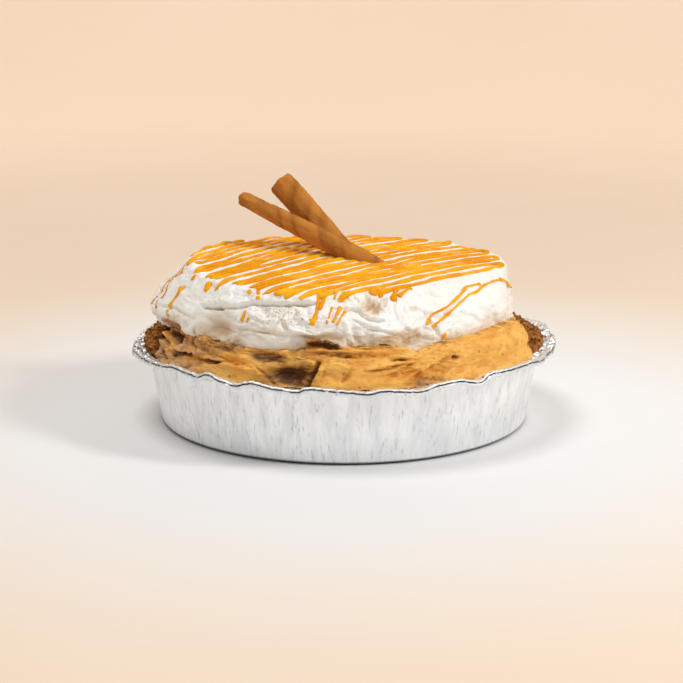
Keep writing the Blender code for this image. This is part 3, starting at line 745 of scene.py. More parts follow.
def drizzle_material():
    material, tree = new_material("drizzle", 0.45, Specular_IOR_Level=0.12)
    body = mottled(tree, (255, 188, 6), (243, 156, 0), 90.0)["Color"]
    dust = use(tree, "mottle", Scale=30.0, Low=0.43, High=0.6)["Mask"]
    patchy = masked(tree, "specks", dust, Scale=1500.0, Amount=0.62)
    tint = mix(tree, patchy, body, colour(200, 112, 10))
    tint = mix(tree, maths(tree, "MULTIPLY", dust, 0.45), tint, colour(226, 138, 10))
    relief = grained(tree, Scale=500.0, Fine=0.6)
    return finished(material, tint, relief, 0.3, 0.0004, Roughness=spread(tree, dust, 0.4, 0.75))


def filling_material():
    material, tree = new_material(
        "pumpkin_filling", 0.5, Subsurface_Weight=0.06, Subsurface_Scale=0.003,
    )
    tint = mottled(tree, (254, 195, 93), (233, 160, 57), 50.0, Stretch=(1.0, 1.0, 2.2))["Color"]
    warm = masked(tree, "mottle", 0.45, Scale=150.0, Stretch=(1.0, 1.0, 2.0), Low=0.52, High=0.64)
    tint = mix(tree, warm, tint, colour(206, 132, 44))
    # Tan of the torn left side, partly painted shade there
    aired_and_shaded = mottled(tree, (228, 182, 124), (180, 124, 66), 120.0, Stretch=(1.0, 1.0, 2.0))["Color"]
    tint = mix(tree, marked(tree, "tan_and_shade"), tint, aired_and_shaded)
    # Painted shade, dark brown, in the filling's folds and hollows
    tint = mix(tree, marked(tree, "hollow_shade"), tint, colour(104, 58, 16))
    # Dark specks: painted shade in small pits
    pit_shade = masked(tree, "specks", 0.55, Scale=380.0, Amount=0.16)
    tint = mix(tree, pit_shade, tint, colour(150, 86, 26))
    relief = grained(tree, Scale=330.0, Stretch=(1.0, 1.0, 1.6), Fine=0.5)
    return finished(material, tint, relief, 0.5, 0.0008)


def crust_material():
    material, tree = new_material("crumb_crust", 0.85)
    body = mottled(tree, (228, 150, 60), (88, 46, 8), 260.0, Low=0.4, High=0.6)["Color"]
    toast = masked(tree, "mottle", 0.6, Scale=60.0)
    tint = mix(tree, toast, body, colour(124, 68, 16))
    return finished(material, tint, grained(tree, Scale=500.0, Fine=0.8), 0.9, 0.001)


def foil_material():
    material, tree = new_material("foil", 0.4, Metallic=0.72)
    body = mottled(tree, (252, 253, 252), (237, 240, 243), 170.0, Stretch=(1.0, 1.0, 0.16))
    streaks = masked(tree, "mottle", 0.5, Scale=680.0, Stretch=(1.0, 1.0, 0.1), Low=0.55, High=0.68)
    drawn = mix(tree, streaks, body["Color"], colour(176, 181, 187))
    # Painted shade, nearly black, in the rim's gap, along the foot and in crumpled pockets
    tint = mix(tree, marked(tree, "hollow_shade"), drawn, colour(36, 40, 46))
    relief = grained(tree, Scale=520.0, Stretch=(1.0, 1.0, 0.12), Fine=0.5)
    rough = spread(tree, body["Mask"], 0.34, 0.46)
    return finished(material, tint, relief, 0.5, 0.0004, Roughness=rough)


def bark_material():
    material, tree = new_material("cinnamon_bark", 0.7, Specular_IOR_Level=0.2)
    sheet = add(tree, "ShaderNodeUVMap").outputs["UV"]
    streak = cloudy(tree, stretched(tree, sheet, (230.0, 22.0, 1.0)), 1.0, 4.0)
    body = mix(tree, streak, colour(225, 152, 64), colour(166, 96, 27))
    values = {"Vector": sheet, "Angle": 0.6}
    slanted = add(tree, "ShaderNodeVectorRotate", values, rotation_type="Z_AXIS")
    ring = cloudy(tree, stretched(tree, slanted.outputs[0], (16.0, 120.0, 1.0)), 0.8, 2.0)
    share = maths(tree, "MULTIPLY", ranged(tree, ring, 0.46, 0.64, "LINEAR"), 0.6)
    tint = mix(tree, share, body, colour(128, 70, 20))
    # Painted shade inside the roll
    tint = mix(tree, marked(tree, "hollow_shade"), tint, colour(98, 52, 20))
    relief = maths(tree, "ADD", streak, grained(tree, Scale=700.0, Fine=0.5))
    return finished(material, tint, relief, 0.8, 0.0007)


def spice_material():
    material, tree = new_material("ground_cinnamon", 0.9)
    return finished(material, mottled(tree, (204, 136, 60), (142, 80, 26), 900.0)["Color"])


def floor_material():
    """Nearly white under the pie, and a pale peach from a hand's width beside it on.
    Far off it glows peach: painted light that brightens the backdrop.
    """
    material, tree = new_material("floor", 0.75, Emission_Strength=BACKDROP_GLOW)
    away = add(tree, "ShaderNodeVectorMath", {0: in_place(tree)}, operation="LENGTH").outputs["Value"]
    near = mottled(tree, (243, 245, 246), (241, 242, 243), 1.5)["Color"]
    far = mottled(tree, (246, 227, 206), (244, 223, 200), 1.5)["Color"]
    tint = mix(tree, ranged(tree, away, 0.15, 0.42), near, far)
    glow = mix(tree, ranged(tree, away, 0.35, 1.6), colour(0, 0, 0), colour(244, 218, 192))
    return finished(material, tint, **{"Emission Color": glow})


# Tin

def tin_inside(height):
    return TIN_FOOT[0] + TIN_SLOPE * (height - TIN_FOOT[1])


def build_tin(material):
    """The foil pan: streaked wall, flange with a rolled, wavy and crimped edge, and inner side."""
    angle = np.linspace(-180.0, 180.0, TIN_COLUMNS, endpoint=False)
    sag = -TIN_RIM_SAG * hump(apart(angle, TIN_RIM_SAG_ANGLE), TIN_RIM_SAG_SPREAD)
    wave = TIN_RIM_WAVE_HEIGHT * (1.25 * ripple(angle, TIN_RIM_WAVES, 7) + 0.45 * ripple(angle, 74, 8))
    seen = smooth(-158.0, -148.0, angle) * (1.0 - smooth(-26.0, -18.0, angle))
    wave = blend(wave, around(angle, TIN_GAP_HEIGHTS) - TIN_GAP_HEIGHT, seen)
    ends = np.maximum(hump(apart(angle, 180.0), 52.0), hump(apart(angle, -2.0), 44.0))
    crumpled = 1.0 + 1.9 * ends
    crimp = crumpled * (0.32 * ripple(angle, 330, 3) + 0.2 * ripple(angle, 760, 4))
    top = TIN_WALL_TOP + TIN_WALL_SAG * sag
    wall = tin_inside(TIN_WALL_TOP) + 1.0
    # Each row: radius, height, how much of the wall's relief and of the crimps it takes, and how much
    # painted shade it takes, in the rim's gap and along the foot
    rows = [(blend(40.0, TIN_FLOOR_RADIUS, share), 0.0, 0.0, 0.0, 0.0) for share in (0.0, 0.6, 0.96)]
    rows += [(TIN_FLOOR_RADIUS + 0.6, 0.0, 0.0, 0.0, 1.0)]
    for turn in np.radians(np.linspace(15.0, 75.0, 4)):
        reach = TIN_FLOOR_RADIUS + 0.6 + 3.1 * math.sin(turn)
        lift = 3.0 * (1.0 - math.cos(turn))
        rows.append((reach, lift, 0.15, 0.0, 1.0 - smooth(0.7, 2.2, lift)))
    for share in np.linspace(0.0, 1.0, 34):
        pleat = smooth(-0.02, 0.15, share)
        rows.append((blend(TIN_FOOT[0] + 1.0, wall, share), blend(3.0, top, share), pleat, 0.0, 0.0))
    for radius, height, waves, crimps, gap in TIN_RIM_SECTION:
        rows.append((radius, height + sag + waves * wave, 0.0, crimps, gap))
    rows += [
        (wall - 0.4, top, 0.0, 0.0, 0.0),
        (*TIN_FOOT, 0.0, 0.0, 0.0),
        (TIN_FLOOR_RADIUS - 0.5, TIN_FOIL, 0.0, 0.0, 0.0),
        (40.0, TIN_FOIL, 0.0, 0.0, 0.0),
    ]
    radius, height, pleated, crimped, gap = grids(rows, angle)
    field = winding(angle, 100.0)
    folds = field(0.035 * height, 4.6, 1.0, 2, 21, kind=creased) - 0.45
    creases = stroked(angle[None, :], height, TIN_CREASES, 108.0, 0.5)
    fine, dents = field(height, 1.5, 8.0, 31), field(height, 15.0, 16.0, 41)
    relief = 0.2 * folds + 0.2 * fine + 0.2 * dents + creases
    points = pushed(polar(angle[None, :], radius, height), pleated * relief)
    crinkle = field(radius, 1.3, 2.0, 51) * crumpled
    shred = field(radius, 2.3, 2.6, 54) * ends
    points[..., 2] += crimped * (crimp[None, :] + 0.3 * crinkle + 1.1 * shred)
    inward = crimped * crumpled * 0.45 * field(height, 1.7, 2.0, 52)
    points[..., :2] *= 1.0 - np.abs(inward[..., None]) / 100.0
    # Painted shade in the rim's gap (broken up in places), along the foot, and in crumpled pockets
    broken = smooth(-0.55, -0.1, field(0.0 * height, 2.6, 1.0, 53))
    pocket = crimped * ends * smooth(0.15, 0.4, field(radius, 1.2, 1.4, 55))
    hollow_shade = np.maximum(gap * np.where(height > 20.0, broken, 1.0), 0.75 * pocket)
    return skin("tin_foil", points, material, marks={"hollow_shade": hollow_shade})


# Crust

def crust_outside(height):
    return tin_inside(height) - CRUST_GAP


def crust_top(angle):
    bare = np.minimum(CRUST_TOP + 0.8 * ripple(angle, 40, 12), around(angle, LIP_HEIGHTS) - 1.0)
    return blend(bare, CRUST_TOP_UNDER_SPILL, smooth(0.0, 0.5, spill(angle)))


def build_crust(material):
    """The crumb lining: a rough, crumbly wall between the tin and the filling."""
    angle = front_fine(CRUST_COLUMNS)
    top = crust_top(angle) - CRUST_ROUNDING
    outside = crust_outside(42.0)
    inside = outside - CRUST_THICKNESS
    flare = CRUST_FLARE * (1.0 - smooth(0.0, 0.5, spill(angle)))
    # Each row: radius, height, and how rough it is
    rows = [(60.0, 1.3, 0.0), (99.4, 1.3, 0.0)]
    rows += [(crust_outside(level), level, 0.0) for level in (4.1, 20.0, 36.0)]
    for share in np.linspace(0.1, 1.0, 9):
        reach = outside + flare * smooth(0.55, 0.9, share)
        rows.append((reach, blend(36.0, top, share), smooth(0.4, 1.0, share)))
    for turn in np.radians(np.linspace(10.0, 170.0, 15)):
        side = math.cos(turn)
        reach = 0.5 * (outside + inside) + 0.5 * CRUST_THICKNESS * side + flare * (0.5 + 0.5 * side)
        rows.append((reach, top + CRUST_ROUNDING * math.sin(turn), 1.0))
    rows += [(inside, blend(36.0, top, share), 1.0) for share in np.linspace(1.0, 0.1, 9)]
    rows += [(crust_outside(9.2) - CRUST_THICKNESS, 9.2, 0.0), (94.4, 6.3, 0.0), (60.0, 6.3, 0.0)]
    radius, height, rough = grids(rows, angle)
    points = polar(angle[None, :], radius, height)
    x, y, z = np.moveaxis(points, -1, 0)
    crumbs = 1.3 * fractal(x / 3.0, y / 3.0, z / 3.0, 2, 61)
    crumbs = crumbs + 0.9 * creased(x / 1.8, y / 1.8, z / 1.8, 1, 63)
    return skin("crust_wall", pushed(points, rough * (crumbs - 0.6)), material)


# Filling

def filling_radius(angle, share, height):
    """The side's radius, a share of the way up from the crust to the cream."""
    bulge = FILLING_SPILL_BULGE * np.sin(math.pi * (0.15 + 0.75 * share))
    edge = 1.5 * smooth(0.6, 1.0, share) - 1.2 * (1.0 - share)
    foot = FILLING_FOOT_FLARE * (1.0 - smooth(43.5, 50.0, height))
    spilt = FILLING_SPILL_RADIUS + bulge - edge + foot + lobed(angle, height, FILLING_LOBES)
    bare = FILLING_RADIUS + 1.2 * ripple(angle, 18, 5)
    return blend(bare, spilt, smooth(0.5, 1.0, spill(angle)))


def build_filling(material):
    """The pumpkin mousse: its hidden foot in the crust, and the torn, smeared side that shows."""
    angle = front_fine(PIE_COLUMNS)
    lip = around(angle, LIP_HEIGHTS) + 0.9
    soft = soft_lip(angle)
    spilt_foot = crust_outside(42.0) - CRUST_THICKNESS
    foot = blend(FILLING_RADIUS, spilt_foot, smooth(0.5, 1.0, spill(angle))) - 0.8
    # Each row: radius, height, and how much of the relief it takes
    rows = [(60.0, 6.7, 0.0), (93.9, 6.7, 0.0), (97.0, 34.0, 0.0), (foot, 41.5, 0.2)]
    for share in np.linspace(0.0, 1.0, 78):
        level = blend(FILLING_FOOT, soft, share) + (lip - soft) * share ** 6
        form = np.clip((level - FILLING_FORM_FOOT) / (soft - FILLING_FORM_FOOT), 0.0, 1.0)
        rows.append((filling_radius(angle, form, level), level, smooth(-0.1, 0.1, share)))
    seat = around(angle, SEAT_RADII)
    rows += [(seat * share, blend(lip, SEAT_HEIGHT, 1.0 - share), 0.0) for share in (0.985, 0.9, 0.6)]
    radius, height, shown = grids(rows, angle)
    wide = np.broadcast_to(angle[None, :], height.shape)
    field = winding(angle, 104.0)
    torn = np.maximum(hump(apart(wide, -150.0), 32.0), 0.75 * hump(apart(wide, 90.0), 95.0))
    calm = 1.0 - spotted(wide, height, FILLING_CALM)
    warp = 2.4 * field(height, 13.0, 8.0, 71)
    warped = height + warp
    layers = terraced(field(warped, 17.0, 3.4, 73) + 0.22 * field(height, 3.0, 2.0, 74), 2.6, 0.3)
    smears = field(warped, 17.0, 4.6, 2, 75, kind=creased) - 0.4
    tears = field(warped, 5.0, 2.8, 2, 77, kind=creased) - 0.45
    lines = field(height + 1.5 * warp, 9.0, 0.9, 79)
    lumps = field(warped, 7.0, 4.0, 3, 81, kind=fractal)
    grit = field(height, 1.9, 1.5, 2, 83, kind=fractal)
    relief = calm * (1.3 * layers + 1.1 * smears + 0.16 * lines)
    relief = relief + (0.3 + 1.3 * torn) * calm * 1.3 * tears
    relief = relief + 1.9 * torn * calm * lumps + (0.14 + 0.6 * torn) * grit
    relief = relief + 0.35 * field(height, 11.0, 7.0, 85)
    relief = relief + stroked(wide, height, FILLING_FOLDS, 104.0) + ledged(wide, height, FILLING_LEDGES)
    relief = relief * shown
    swell = lobed(wide, height, FILLING_LOBES) * spill(wide)
    # Painted shade, dark brown, in the deeper folds, the deep hollows and the listed spots
    patchy = 0.85 + 0.7 * field(warped, 8.0, 1.3, 89) + 0.3 * field(height, 2.5, 1.4, 90)
    shaded = spotted(wide, height, FILLING_PAINTED_SHADE) * patchy + 0.6 * smooth(3.0, 7.0, -swell)
    hollow_shade = np.clip(0.8 * smooth(0.7, 3.0, -relief) + shaded, 0.0, 1.0) * shown
    # A paler, browner left side: partly the torn mousse's own tone, partly painted shade
    tan_patches = field(height, 9.0, 5.0, 87) + 0.3
    tan_and_shade = smooth(-118.0, -140.0, apart(wide, 0.0)) * smooth(-0.3, 0.5, tan_patches)
    points = pushed(polar(angle[None, :], radius, height), relief)
    return skin("filling_mousse", points, material, marks={"hollow_shade": hollow_shade, "tan_and_shade": tan_and_shade})


# Cream

def lip_radius(angle):
    return around(angle, SEAT_RADII) + around(angle, LIP_OVERHANGS)


def side_radius(angle, level):
    """The cream's radius from its lip (0), out to its girth, and in to its plateau (1)."""
    girth = around(angle, GIRTH_RADII)
    rising = smooth(-GIRTH_LEVEL, GIRTH_LEVEL, level) * 2.0 - 1.0
    inward = (np.maximum(0.0, level - GIRTH_LEVEL) / (1.0 - GIRTH_LEVEL)) ** SHOULDER_SLOPE
    over = blend(girth, around(angle, PLATEAU_RADII), inward)
    return np.where(level < GIRTH_LEVEL, blend(lip_radius(angle), girth, rising), over)


def build_cream(material):
    """The whipped cream: its lip over the filling, the spatula's marks, and the flat top."""
    angle = front_fine(PIE_COLUMNS)
    lip = around(angle, LIP_HEIGHTS) + 1.1 * ripple(angle, 64, 91) + 0.8 * ripple(angle, 170, 92)
    soft = soft_lip(angle)
    seat, rim = around(angle, SEAT_RADII), lip_radius(angle)
    edge, plateau = around(angle, EDGE_HEIGHTS), around(angle, PLATEAU_RADII)
    # Each row: radius, height, and how much of the relief it takes
    rows = [(60.0, SEAT_HEIGHT + 0.4, 0.0), (seat * 0.9, lip + 1.0, 0.0), (seat, lip + 0.6, 0.0)]
    rows += [(rim - 0.8, lip + 0.1, 0.3), (rim - 0.1, lip + 0.2, 0.6)]
    for level in np.linspace(0.02, 0.97, 70):
        rise = blend(soft, edge, level) + (lip - soft) * (1.0 - level) ** 6
        form = np.clip((rise - soft) / (edge - soft), 0.0, 1.0)
        rows.append((side_radius(angle, form), rise, 1.0))
    rows += [(plateau - 0.6, edge - 0.1, 1.0)]
    for share in np.linspace(0.975, 0.03, 25):
        dome = blend(PLATEAU_HEIGHT, edge, share * share)
        rows.append((plateau * share, dome, 0.3 + 0.7 * smooth(0.9, 1.0, share)))
    radius, height, shown = grids(rows, angle)
    points = polar(angle[None, :], radius, height)
    dip_x, dip_y, dip_radius, dip = PLATEAU_DIP
    upper = points[6:]
    upper[..., 2] -= dip * hump(np.hypot(upper[..., 0] - dip_x, upper[..., 1] - dip_y), dip_radius)
    x, y, z = np.moveaxis(points, -1, 0)
    wide = np.broadcast_to(angle[None, :], height.shape)
    field = winding(angle, 100.0)
    side = smooth(0.9, 1.0, radius / plateau)
    torn_lip = 1.0 - smooth(0.0, 7.0, height - lip)
    calm = 1.0 - 0.7 * spotted(wide, height, CREAM_CALM)
    warp = 3.4 * field(height, 17.0, 12.0, 101)
    swells = field(height + warp, 15.0, 9.0, 103)
    layers = field(height + 1.6 * warp, 21.0, 6.0, 105) + 0.1 * field(height, 2.6, 2.6, 106)
    layers = terraced(layers, 2.0, 0.22)
    smears = field(height + 2.0 * warp, 12.0, 5.5, 2, 107, kind=creased) - 0.42
    tears = field(height + warp, 4.6, 3.4, 2, 109, kind=creased) - 0.45
    lines = field(height + 2.0 * warp, 8.0, 1.1, 111)
    torn = smooth(0.2, 0.8, field(height, 16.0, 9.0, 113) + 0.55 * torn_lip)
    relief = calm * (1.2 * swells + 2.1 * layers + 1.4 * smears)
    relief = relief + torn * calm * 1.6 * tears + 0.16 * lines
    relief = relief + 0.8 * spotted(wide, height, CREAM_DIMPLES) * field(height, 2.4, 6.0, 114)
    relief = relief + 0.45 * spotted(wide, height, CREAM_RIBS) * field(height, 1.3, 14.0, 115)
    rough = field(height, 2.4, 2.0, 2, 116, kind=fractal)
    relief = relief + 0.9 * spotted(wide, height, CREAM_ROUGH) * rough
    relief = relief + stroked(wide, height, CREAM_STROKES, 100.0) + ledged(wide, height, CREAM_LEDGES)
    relief = side * (relief + lobed(wide, height, CREAM_LOBES))
    relief = relief + (1.0 - side) * 0.5 * fractal(x / 13.0, y / 13.0, z / 13.0, 2, 117)
    relief = relief + 0.07 * fractal(x / 1.6, y / 1.6, z / 1.6, 2, 119)
    # Painted shade in creases and in the listed holes
    deep = spotted(wide, height, CREAM_HOLE_SHADE)
    # Pumpkin stains mixed with painted beige shade, more at the torn lip
    patchy = 0.75 + 0.35 * field(height, 4.0, 4.0, 121)
    tint = side * spotted(wide, height, CREAM_STAINS_AND_SHADE) * patchy
    tint = tint + 0.35 * side * torn_lip * (0.5 + 0.5 * torn)
    return skin("cream_crown", pushed(points, relief * shown), material, marks={
        "hollow_shade": side * np.maximum(smooth(1.2, 4.2, -relief) * 0.6, deep),
        "dust": np.maximum(0.8 * spotted(wide, height, CREAM_DUST), 0.35 * (1.0 - side)),
        "tint": np.clip(tint, 0.0, 1.0),
    })


# Drizzle

def places_of(thing):
    """The places of a piece's points, in millimetres."""
    places = np.empty(3 * len(thing.data.vertices))
    thing.data.vertices.foreach_get("co", places)
    return places.reshape(-1, 3) / MM


def surface_of(thing):
    """A finder of the place and outward direction where a ray first meets a piece."""
    faces = [tuple(face.vertices) for face in thing.data.polygons]
    tree = BVHTree.FromPolygons(places_of(thing).tolist(), faces)

    def meet(start, direction):
        place, normal, _, _ = tree.ray_cast(Vector(start), Vector(direction))
        return None if place is None else (np.array(place), np.array(normal))
    return meet


def met(meet, rays):
    """The points where rays, each a start and a direction, meet the cream."""
    return [point for point in (meet(*ray) for ray in rays) if point is not None]


def stepped(stops, step, widening=1.0):
    """Even steps along (x, y) stops; widening turns x to the measure of y."""
    for (x, y), (next_x, next_y) in zip(stops, stops[1:]):
        count = max(3, int(math.hypot(widening * (next_x - x), next_y - y) / step))
        for share in np.linspace(0.0, 1.0, count, endpoint=False):
            yield blend(x, next_x, share), blend(y, next_y, share)


def from_above(meet, trail):
    """A trail in plan dropped onto the cream."""
    found = met(meet, (((x, y, 150.0), (0.0, 0.0, -1.0)) for x, y in trail))
    return [point for point in found if point[0][2] > 55.0]


def camera_turn():
    return Euler((math.radians(90.0 - CAMERA_DOWN), 0.0, math.radians(CAMERA_TURN)))


def from_camera(meet, spots):
    """A trail on the cream, through the spots where it shows in the photo's frame."""
    turn = camera_turn().to_matrix()
    middle, focus = 0.5 * FRAME, CAMERA_LENS / SENSOR * FRAME
    return met(meet, (
        (CAMERA_PLACE, turn @ Vector((x - middle, middle - y, -focus)).normalized())
        for x, y in stepped(spots, 1.2)
    ))


def from_outside(meet, stops):
    """A trail on the cream's side, through (angle, height) stops."""
    rays = []
    for angle, height in stepped(stops, 1.0, 1.7):
        turn = math.radians(angle)
        outward = np.array([math.cos(turn), math.sin(turn), 0.0])
        rays.append((outward * 140.0 + (0.0, 0.0, height), -outward))
    return met(meet, rays)


def strand(points, half_width, pooling=0.0, blob=RUN_BLOB):
    """A strand of drizzle through points on the cream: even steps, and rounded ends."""
    places = np.array([place for place, _ in points])
    backs = np.array([back for _, back in points])
    steps = np.linalg.norm(np.diff(places, axis=0), axis=1)
    run = np.concatenate([[0.0], np.cumsum(steps)])
    length = run[-1]
    if length < 2.2 * half_width:
        return []
    near = half_width * np.array([0.0, 0.04, 0.14, 0.32, 0.6])
    even = np.linspace(half_width, length - half_width, max(2, int(length / DRIZZLE_STEP)))
    stops = np.concatenate([near, even, length - near[::-1]])
    places = np.stack([np.interp(stops, run, places[:, axis]) for axis in range(3)], axis=-1)
    backs = np.stack([np.interp(stops, run, backs[:, axis]) for axis in range(3)], axis=-1)
    for _ in range(3):
        backs[1:-1] = (backs[:-2] + backs[1:-1] + backs[2:]) / 3.0
        places[6:-6] = (places[5:-7] + 2.0 * places[6:-6] + places[7:-5]) / 4.0
    phase = 17.0 * places[0, 0]
    swell = 0.2 * np.sin((stops + phase) / 6.3) + 0.12 * np.sin((stops + phase) / 2.1)
    reach = np.minimum(stops, length - stops)
    blob = blob * hump(reach - 1.6 * half_width, 2.6 * half_width)
    merged = pooling * hump(np.hypot(places[:, 0] - POOL[0], places[:, 1] - POOL[1]), POOL_RADIUS)
    tip = np.sqrt(np.clip(1.0 - (1.0 - np.minimum(1.0, reach / half_width)) ** 2, 0.02, 1.0))
    width = half_width * (1.0 + swell + blob + merged) * tip
    lift = (DRIZZLE_LIFT - DRIZZLE_SINK * merged)[:, None]
    places = places + lift * backs / np.linalg.norm(backs, axis=1, keepdims=True)
    return list(zip(places, backs, width))


def top_trail(offset, random):
    """One line's places in plan, from the near edge to the far one."""
    side = math.radians(DRIZZLE_ANGLE + 90.0)
    turn = math.radians(DRIZZLE_ANGLE + DRIZZLE_FAN * offset + random.uniform(-1.2, 1.2))
    along = np.array([math.cos(turn), math.sin(turn)])
    beside = np.array([-along[1], along[0]])
    start = offset * np.array([math.cos(side), math.sin(side)])
    phase = random.uniform(0.0, 40.0)
    near, far = random.uniform(*DRIZZLE_NEAR), random.uniform(*DRIZZLE_FAR)
    run = np.arange(-DRIZZLE_REACH, DRIZZLE_REACH, DRIZZLE_STEP)
    sway = np.sin((run + phase) / 17.0) + 0.5 * np.sin((run - phase) / 6.1)
    places = start + along * run[:, None] + sway[:, None] * beside
    angle = np.degrees(np.arctan2(places[:, 1], places[:, 0]))
    back = DRIZZLE_BACK * smooth(*DRIZZLE_BACK_ANGLES, angle)
    edge = around(angle, PLATEAU_RADII) + np.where(run < 0.0, near, far + back)
    return list(places[np.hypot(places[:, 0], places[:, 1]) < edge])


def hairpin(first, second):
    """Two lines joined by a round bend past their far ends."""
    middle, half = 0.5 * (first[-1] + second[-1]), 0.5 * (second[-1] - first[-1])
    out = (first[-1] - first[-4]) / np.linalg.norm(first[-1] - first[-4])
    bend = [
        middle - half * math.cos(turn) + out * np.linalg.norm(half) * math.sin(turn)
        for turn in np.linspace(0.25, math.pi - 0.25, 7)
    ]
    return first + bend + second[::-1]


def top_strands(meet, random):
    """The lines over the top, in hairpins, and alone where the next line is too short for one."""
    middle = 0.5 * (DRIZZLE_LINES - 1)
    trails = [
        top_trail((number - middle) * DRIZZLE_SPACING + random.uniform(-1.1, 1.1), random)
        for number in range(DRIZZLE_LINES)
    ]
    joined = [
        hairpin(first, second) if len(second) >= SHORTEST_TRAIL else first
        for first, second in zip(trails[0::2], trails[1::2]) if len(first) >= SHORTEST_TRAIL
    ]
    look = (DRIZZLE_HALF_WIDTH, DRIZZLE_POOLING, TOP_BLOB)
    return [strand(from_above(meet, trail), *look) for trail in joined]


def chains(name, strands):
    """Edge chains along strands, with each point's half width and the way its back faces."""
    places, edges, widths, backs = [], [], [], []
    for points in strands:
        first = len(places)
        for place, back, width in points:
            places.append(place * MM)
            widths.append(width * MM)
            backs.append(back)
        edges.extend((point, point + 1) for point in range(first, len(places) - 1))
    mesh = bpy.data.meshes.new(name)
    mesh.from_pydata(places, edges, [])
    mark_points(mesh, "half_width", widths)
    mesh.attributes.new("back", "FLOAT_VECTOR", "POINT").data.foreach_set("vector", np.ravel(backs))
    return linked(name, mesh)


# Geometry trees

def geometry_tree(name, inputs):
    tree = bpy.data.node_groups.new(name, "GeometryNodeTree")
    tree.interface.new_socket("Geometry", in_out="INPUT", socket_type="NodeSocketGeometry")
    for label, kind, value in inputs:
        socket = tree.interface.new_socket(label, in_out="INPUT", socket_type="NodeSocket" + kind)
        if value is not None:
            socket.default_value = value
    tree.interface.new_socket("Geometry", in_out="OUTPUT", socket_type="NodeSocketGeometry")
    return tree, tree.nodes.new("NodeGroupInput").outputs, tree.nodes.new("NodeGroupOutput")


def grown(thing, tree, material, **values):
    """Runs a geometry tree on a piece and keeps its result as a plain mesh."""
    values["Finish"] = material
    modifier = thing.modifiers.new(tree.name, "NODES")
    modifier.node_group = tree
    for item in tree.interface.items_tree:
        if item.in_out == "INPUT" and item.name in values:
            modifier[item.identifier] = values[item.name]
    bpy.context.view_layer.update()
    graph = bpy.context.evaluated_depsgraph_get()
    result = bpy.data.meshes.new_from_object(thing.evaluated_get(graph))
    thing.modifiers.clear()
    thing.data = result
    result.materials.clear()
    result.materials.append(material)
    result.shade_smooth()
    return thing


def attribute(tree, name, kind):
    node = add(tree, "GeometryNodeInputNamedAttribute", {"Name": name}, data_type=kind)
    return node.outputs["Attribute"]


def ended(tree, geometry, given, result):
    """Ends a geometry tree: realized, and with its finish."""
    real = add(tree, "GeometryNodeRealizeInstances", {0: geometry})
    values = {"Geometry": real.outputs[0], "Material": given["Finish"]}
    finish = add(tree, "GeometryNodeSetMaterial", values)
    tree.links.new(finish.outputs[0], result.inputs[0])
    return tree


def sweep_tree():
    """Sweeps a low round ridge along edge chains, as wide as each point's half width says."""
    tree, given, result = geometry_tree("drizzle_sweep", (
        ("Rise", "Float", 0.4), ("Sides", "Int", 12), ("Finish", "Material", None),
    ))
    width = attribute(tree, "half_width", "FLOAT")
    back = attribute(tree, "back", "FLOAT_VECTOR")
    curve = add(tree, "GeometryNodeMeshToCurve", {"Mesh": given["Geometry"]})
    values = {"Curve": curve.outputs[0], "Normal": back}
    turned = add(tree, "GeometryNodeSetCurveNormal", values, mode="FREE")
    wide = add(tree, "GeometryNodeSetCurveRadius", {"Curve": turned.outputs[0], "Radius": width})
    values = {"Resolution": given["Sides"], "Radius": 1.0}
    circle = add(tree, "GeometryNodeCurvePrimitiveCircle", values)
    size = add(tree, "ShaderNodeCombineXYZ", {"X": given["Rise"], "Y": 1.0, "Z": 1.0})
    flat = add(tree, "GeometryNodeTransform", {"Geometry": circle.outputs[0], "Scale": size.outputs[0]})
    sweep = add(tree, "GeometryNodeCurveToMesh", {
        "Curve": wide.outputs[0], "Profile Curve": flat.outputs[0], "Fill Caps": True,
    })
    if "Scale" in sweep.inputs:
        tree.links.new(width, sweep.inputs["Scale"])
    return ended(tree, sweep.outputs[0], given, result)


def scatter_tree():
    """Strews small uneven grains over a piece, where its mark says so."""
    tree, given, result = geometry_tree("strewn_grains", (
        ("Density", "Float", 1000.0), ("Seed", "Int", 1), ("Smallest", "Float", 0.0002),
        ("Largest", "Float", 0.0005), ("Flatness", "Float", 0.6), ("Finish", "Material", None),
    ))
    density = maths(tree, "MULTIPLY", attribute(tree, "strewn", "FLOAT"), given["Density"])
    points = add(tree, "GeometryNodeDistributePointsOnFaces", {
        "Mesh": given["Geometry"], "Density": density, "Seed": given["Seed"],
    })
    ball = add(tree, "GeometryNodeMeshIcoSphere", {"Radius": 1.0, "Subdivisions": 1})
    bump = add(tree, "ShaderNodeTexNoise", {"Scale": 1.3})
    centred = {0: bump.outputs["Color"], 1: (0.5, 0.5, 0.5)}
    push = add(tree, "ShaderNodeVectorMath", centred, operation="SUBTRACT").outputs[0]
    uneven = add(tree, "GeometryNodeSetPosition", {"Geometry": ball.outputs[0], "Offset": push})
    squash = add(tree, "ShaderNodeCombineXYZ", {"X": 1.0, "Y": 0.8, "Z": given["Flatness"]})
    values = {"Geometry": uneven.outputs[0], "Scale": squash.outputs[0]}
    flat = add(tree, "GeometryNodeTransform", values)
    size = add(tree, "FunctionNodeRandomValue", {
        2: given["Smallest"], 3: given["Largest"], "Seed": given["Seed"],
    }, data_type="FLOAT")
    turn = add(tree, "FunctionNodeRandomValue", {
        0: (0.0, 0.0, 0.0), 1: (6.28, 6.28, 6.28), "Seed": given["Seed"],
    }, data_type="FLOAT_VECTOR")
    grains = add(tree, "GeometryNodeInstanceOnPoints", {
        "Points": points.outputs["Points"], "Instance": flat.outputs[0],
        "Rotation": turn.outputs[0], "Scale": size.outputs[1],
    })
    return ended(tree, grains.outputs[0], given, result)


# Cinnamon quills

def doubled(outward, back=None):
    """Values along the roll's outer face, and then back along its inner one."""
    return np.concatenate([outward, (outward if back is None else back)[:, ::-1]], axis=1)


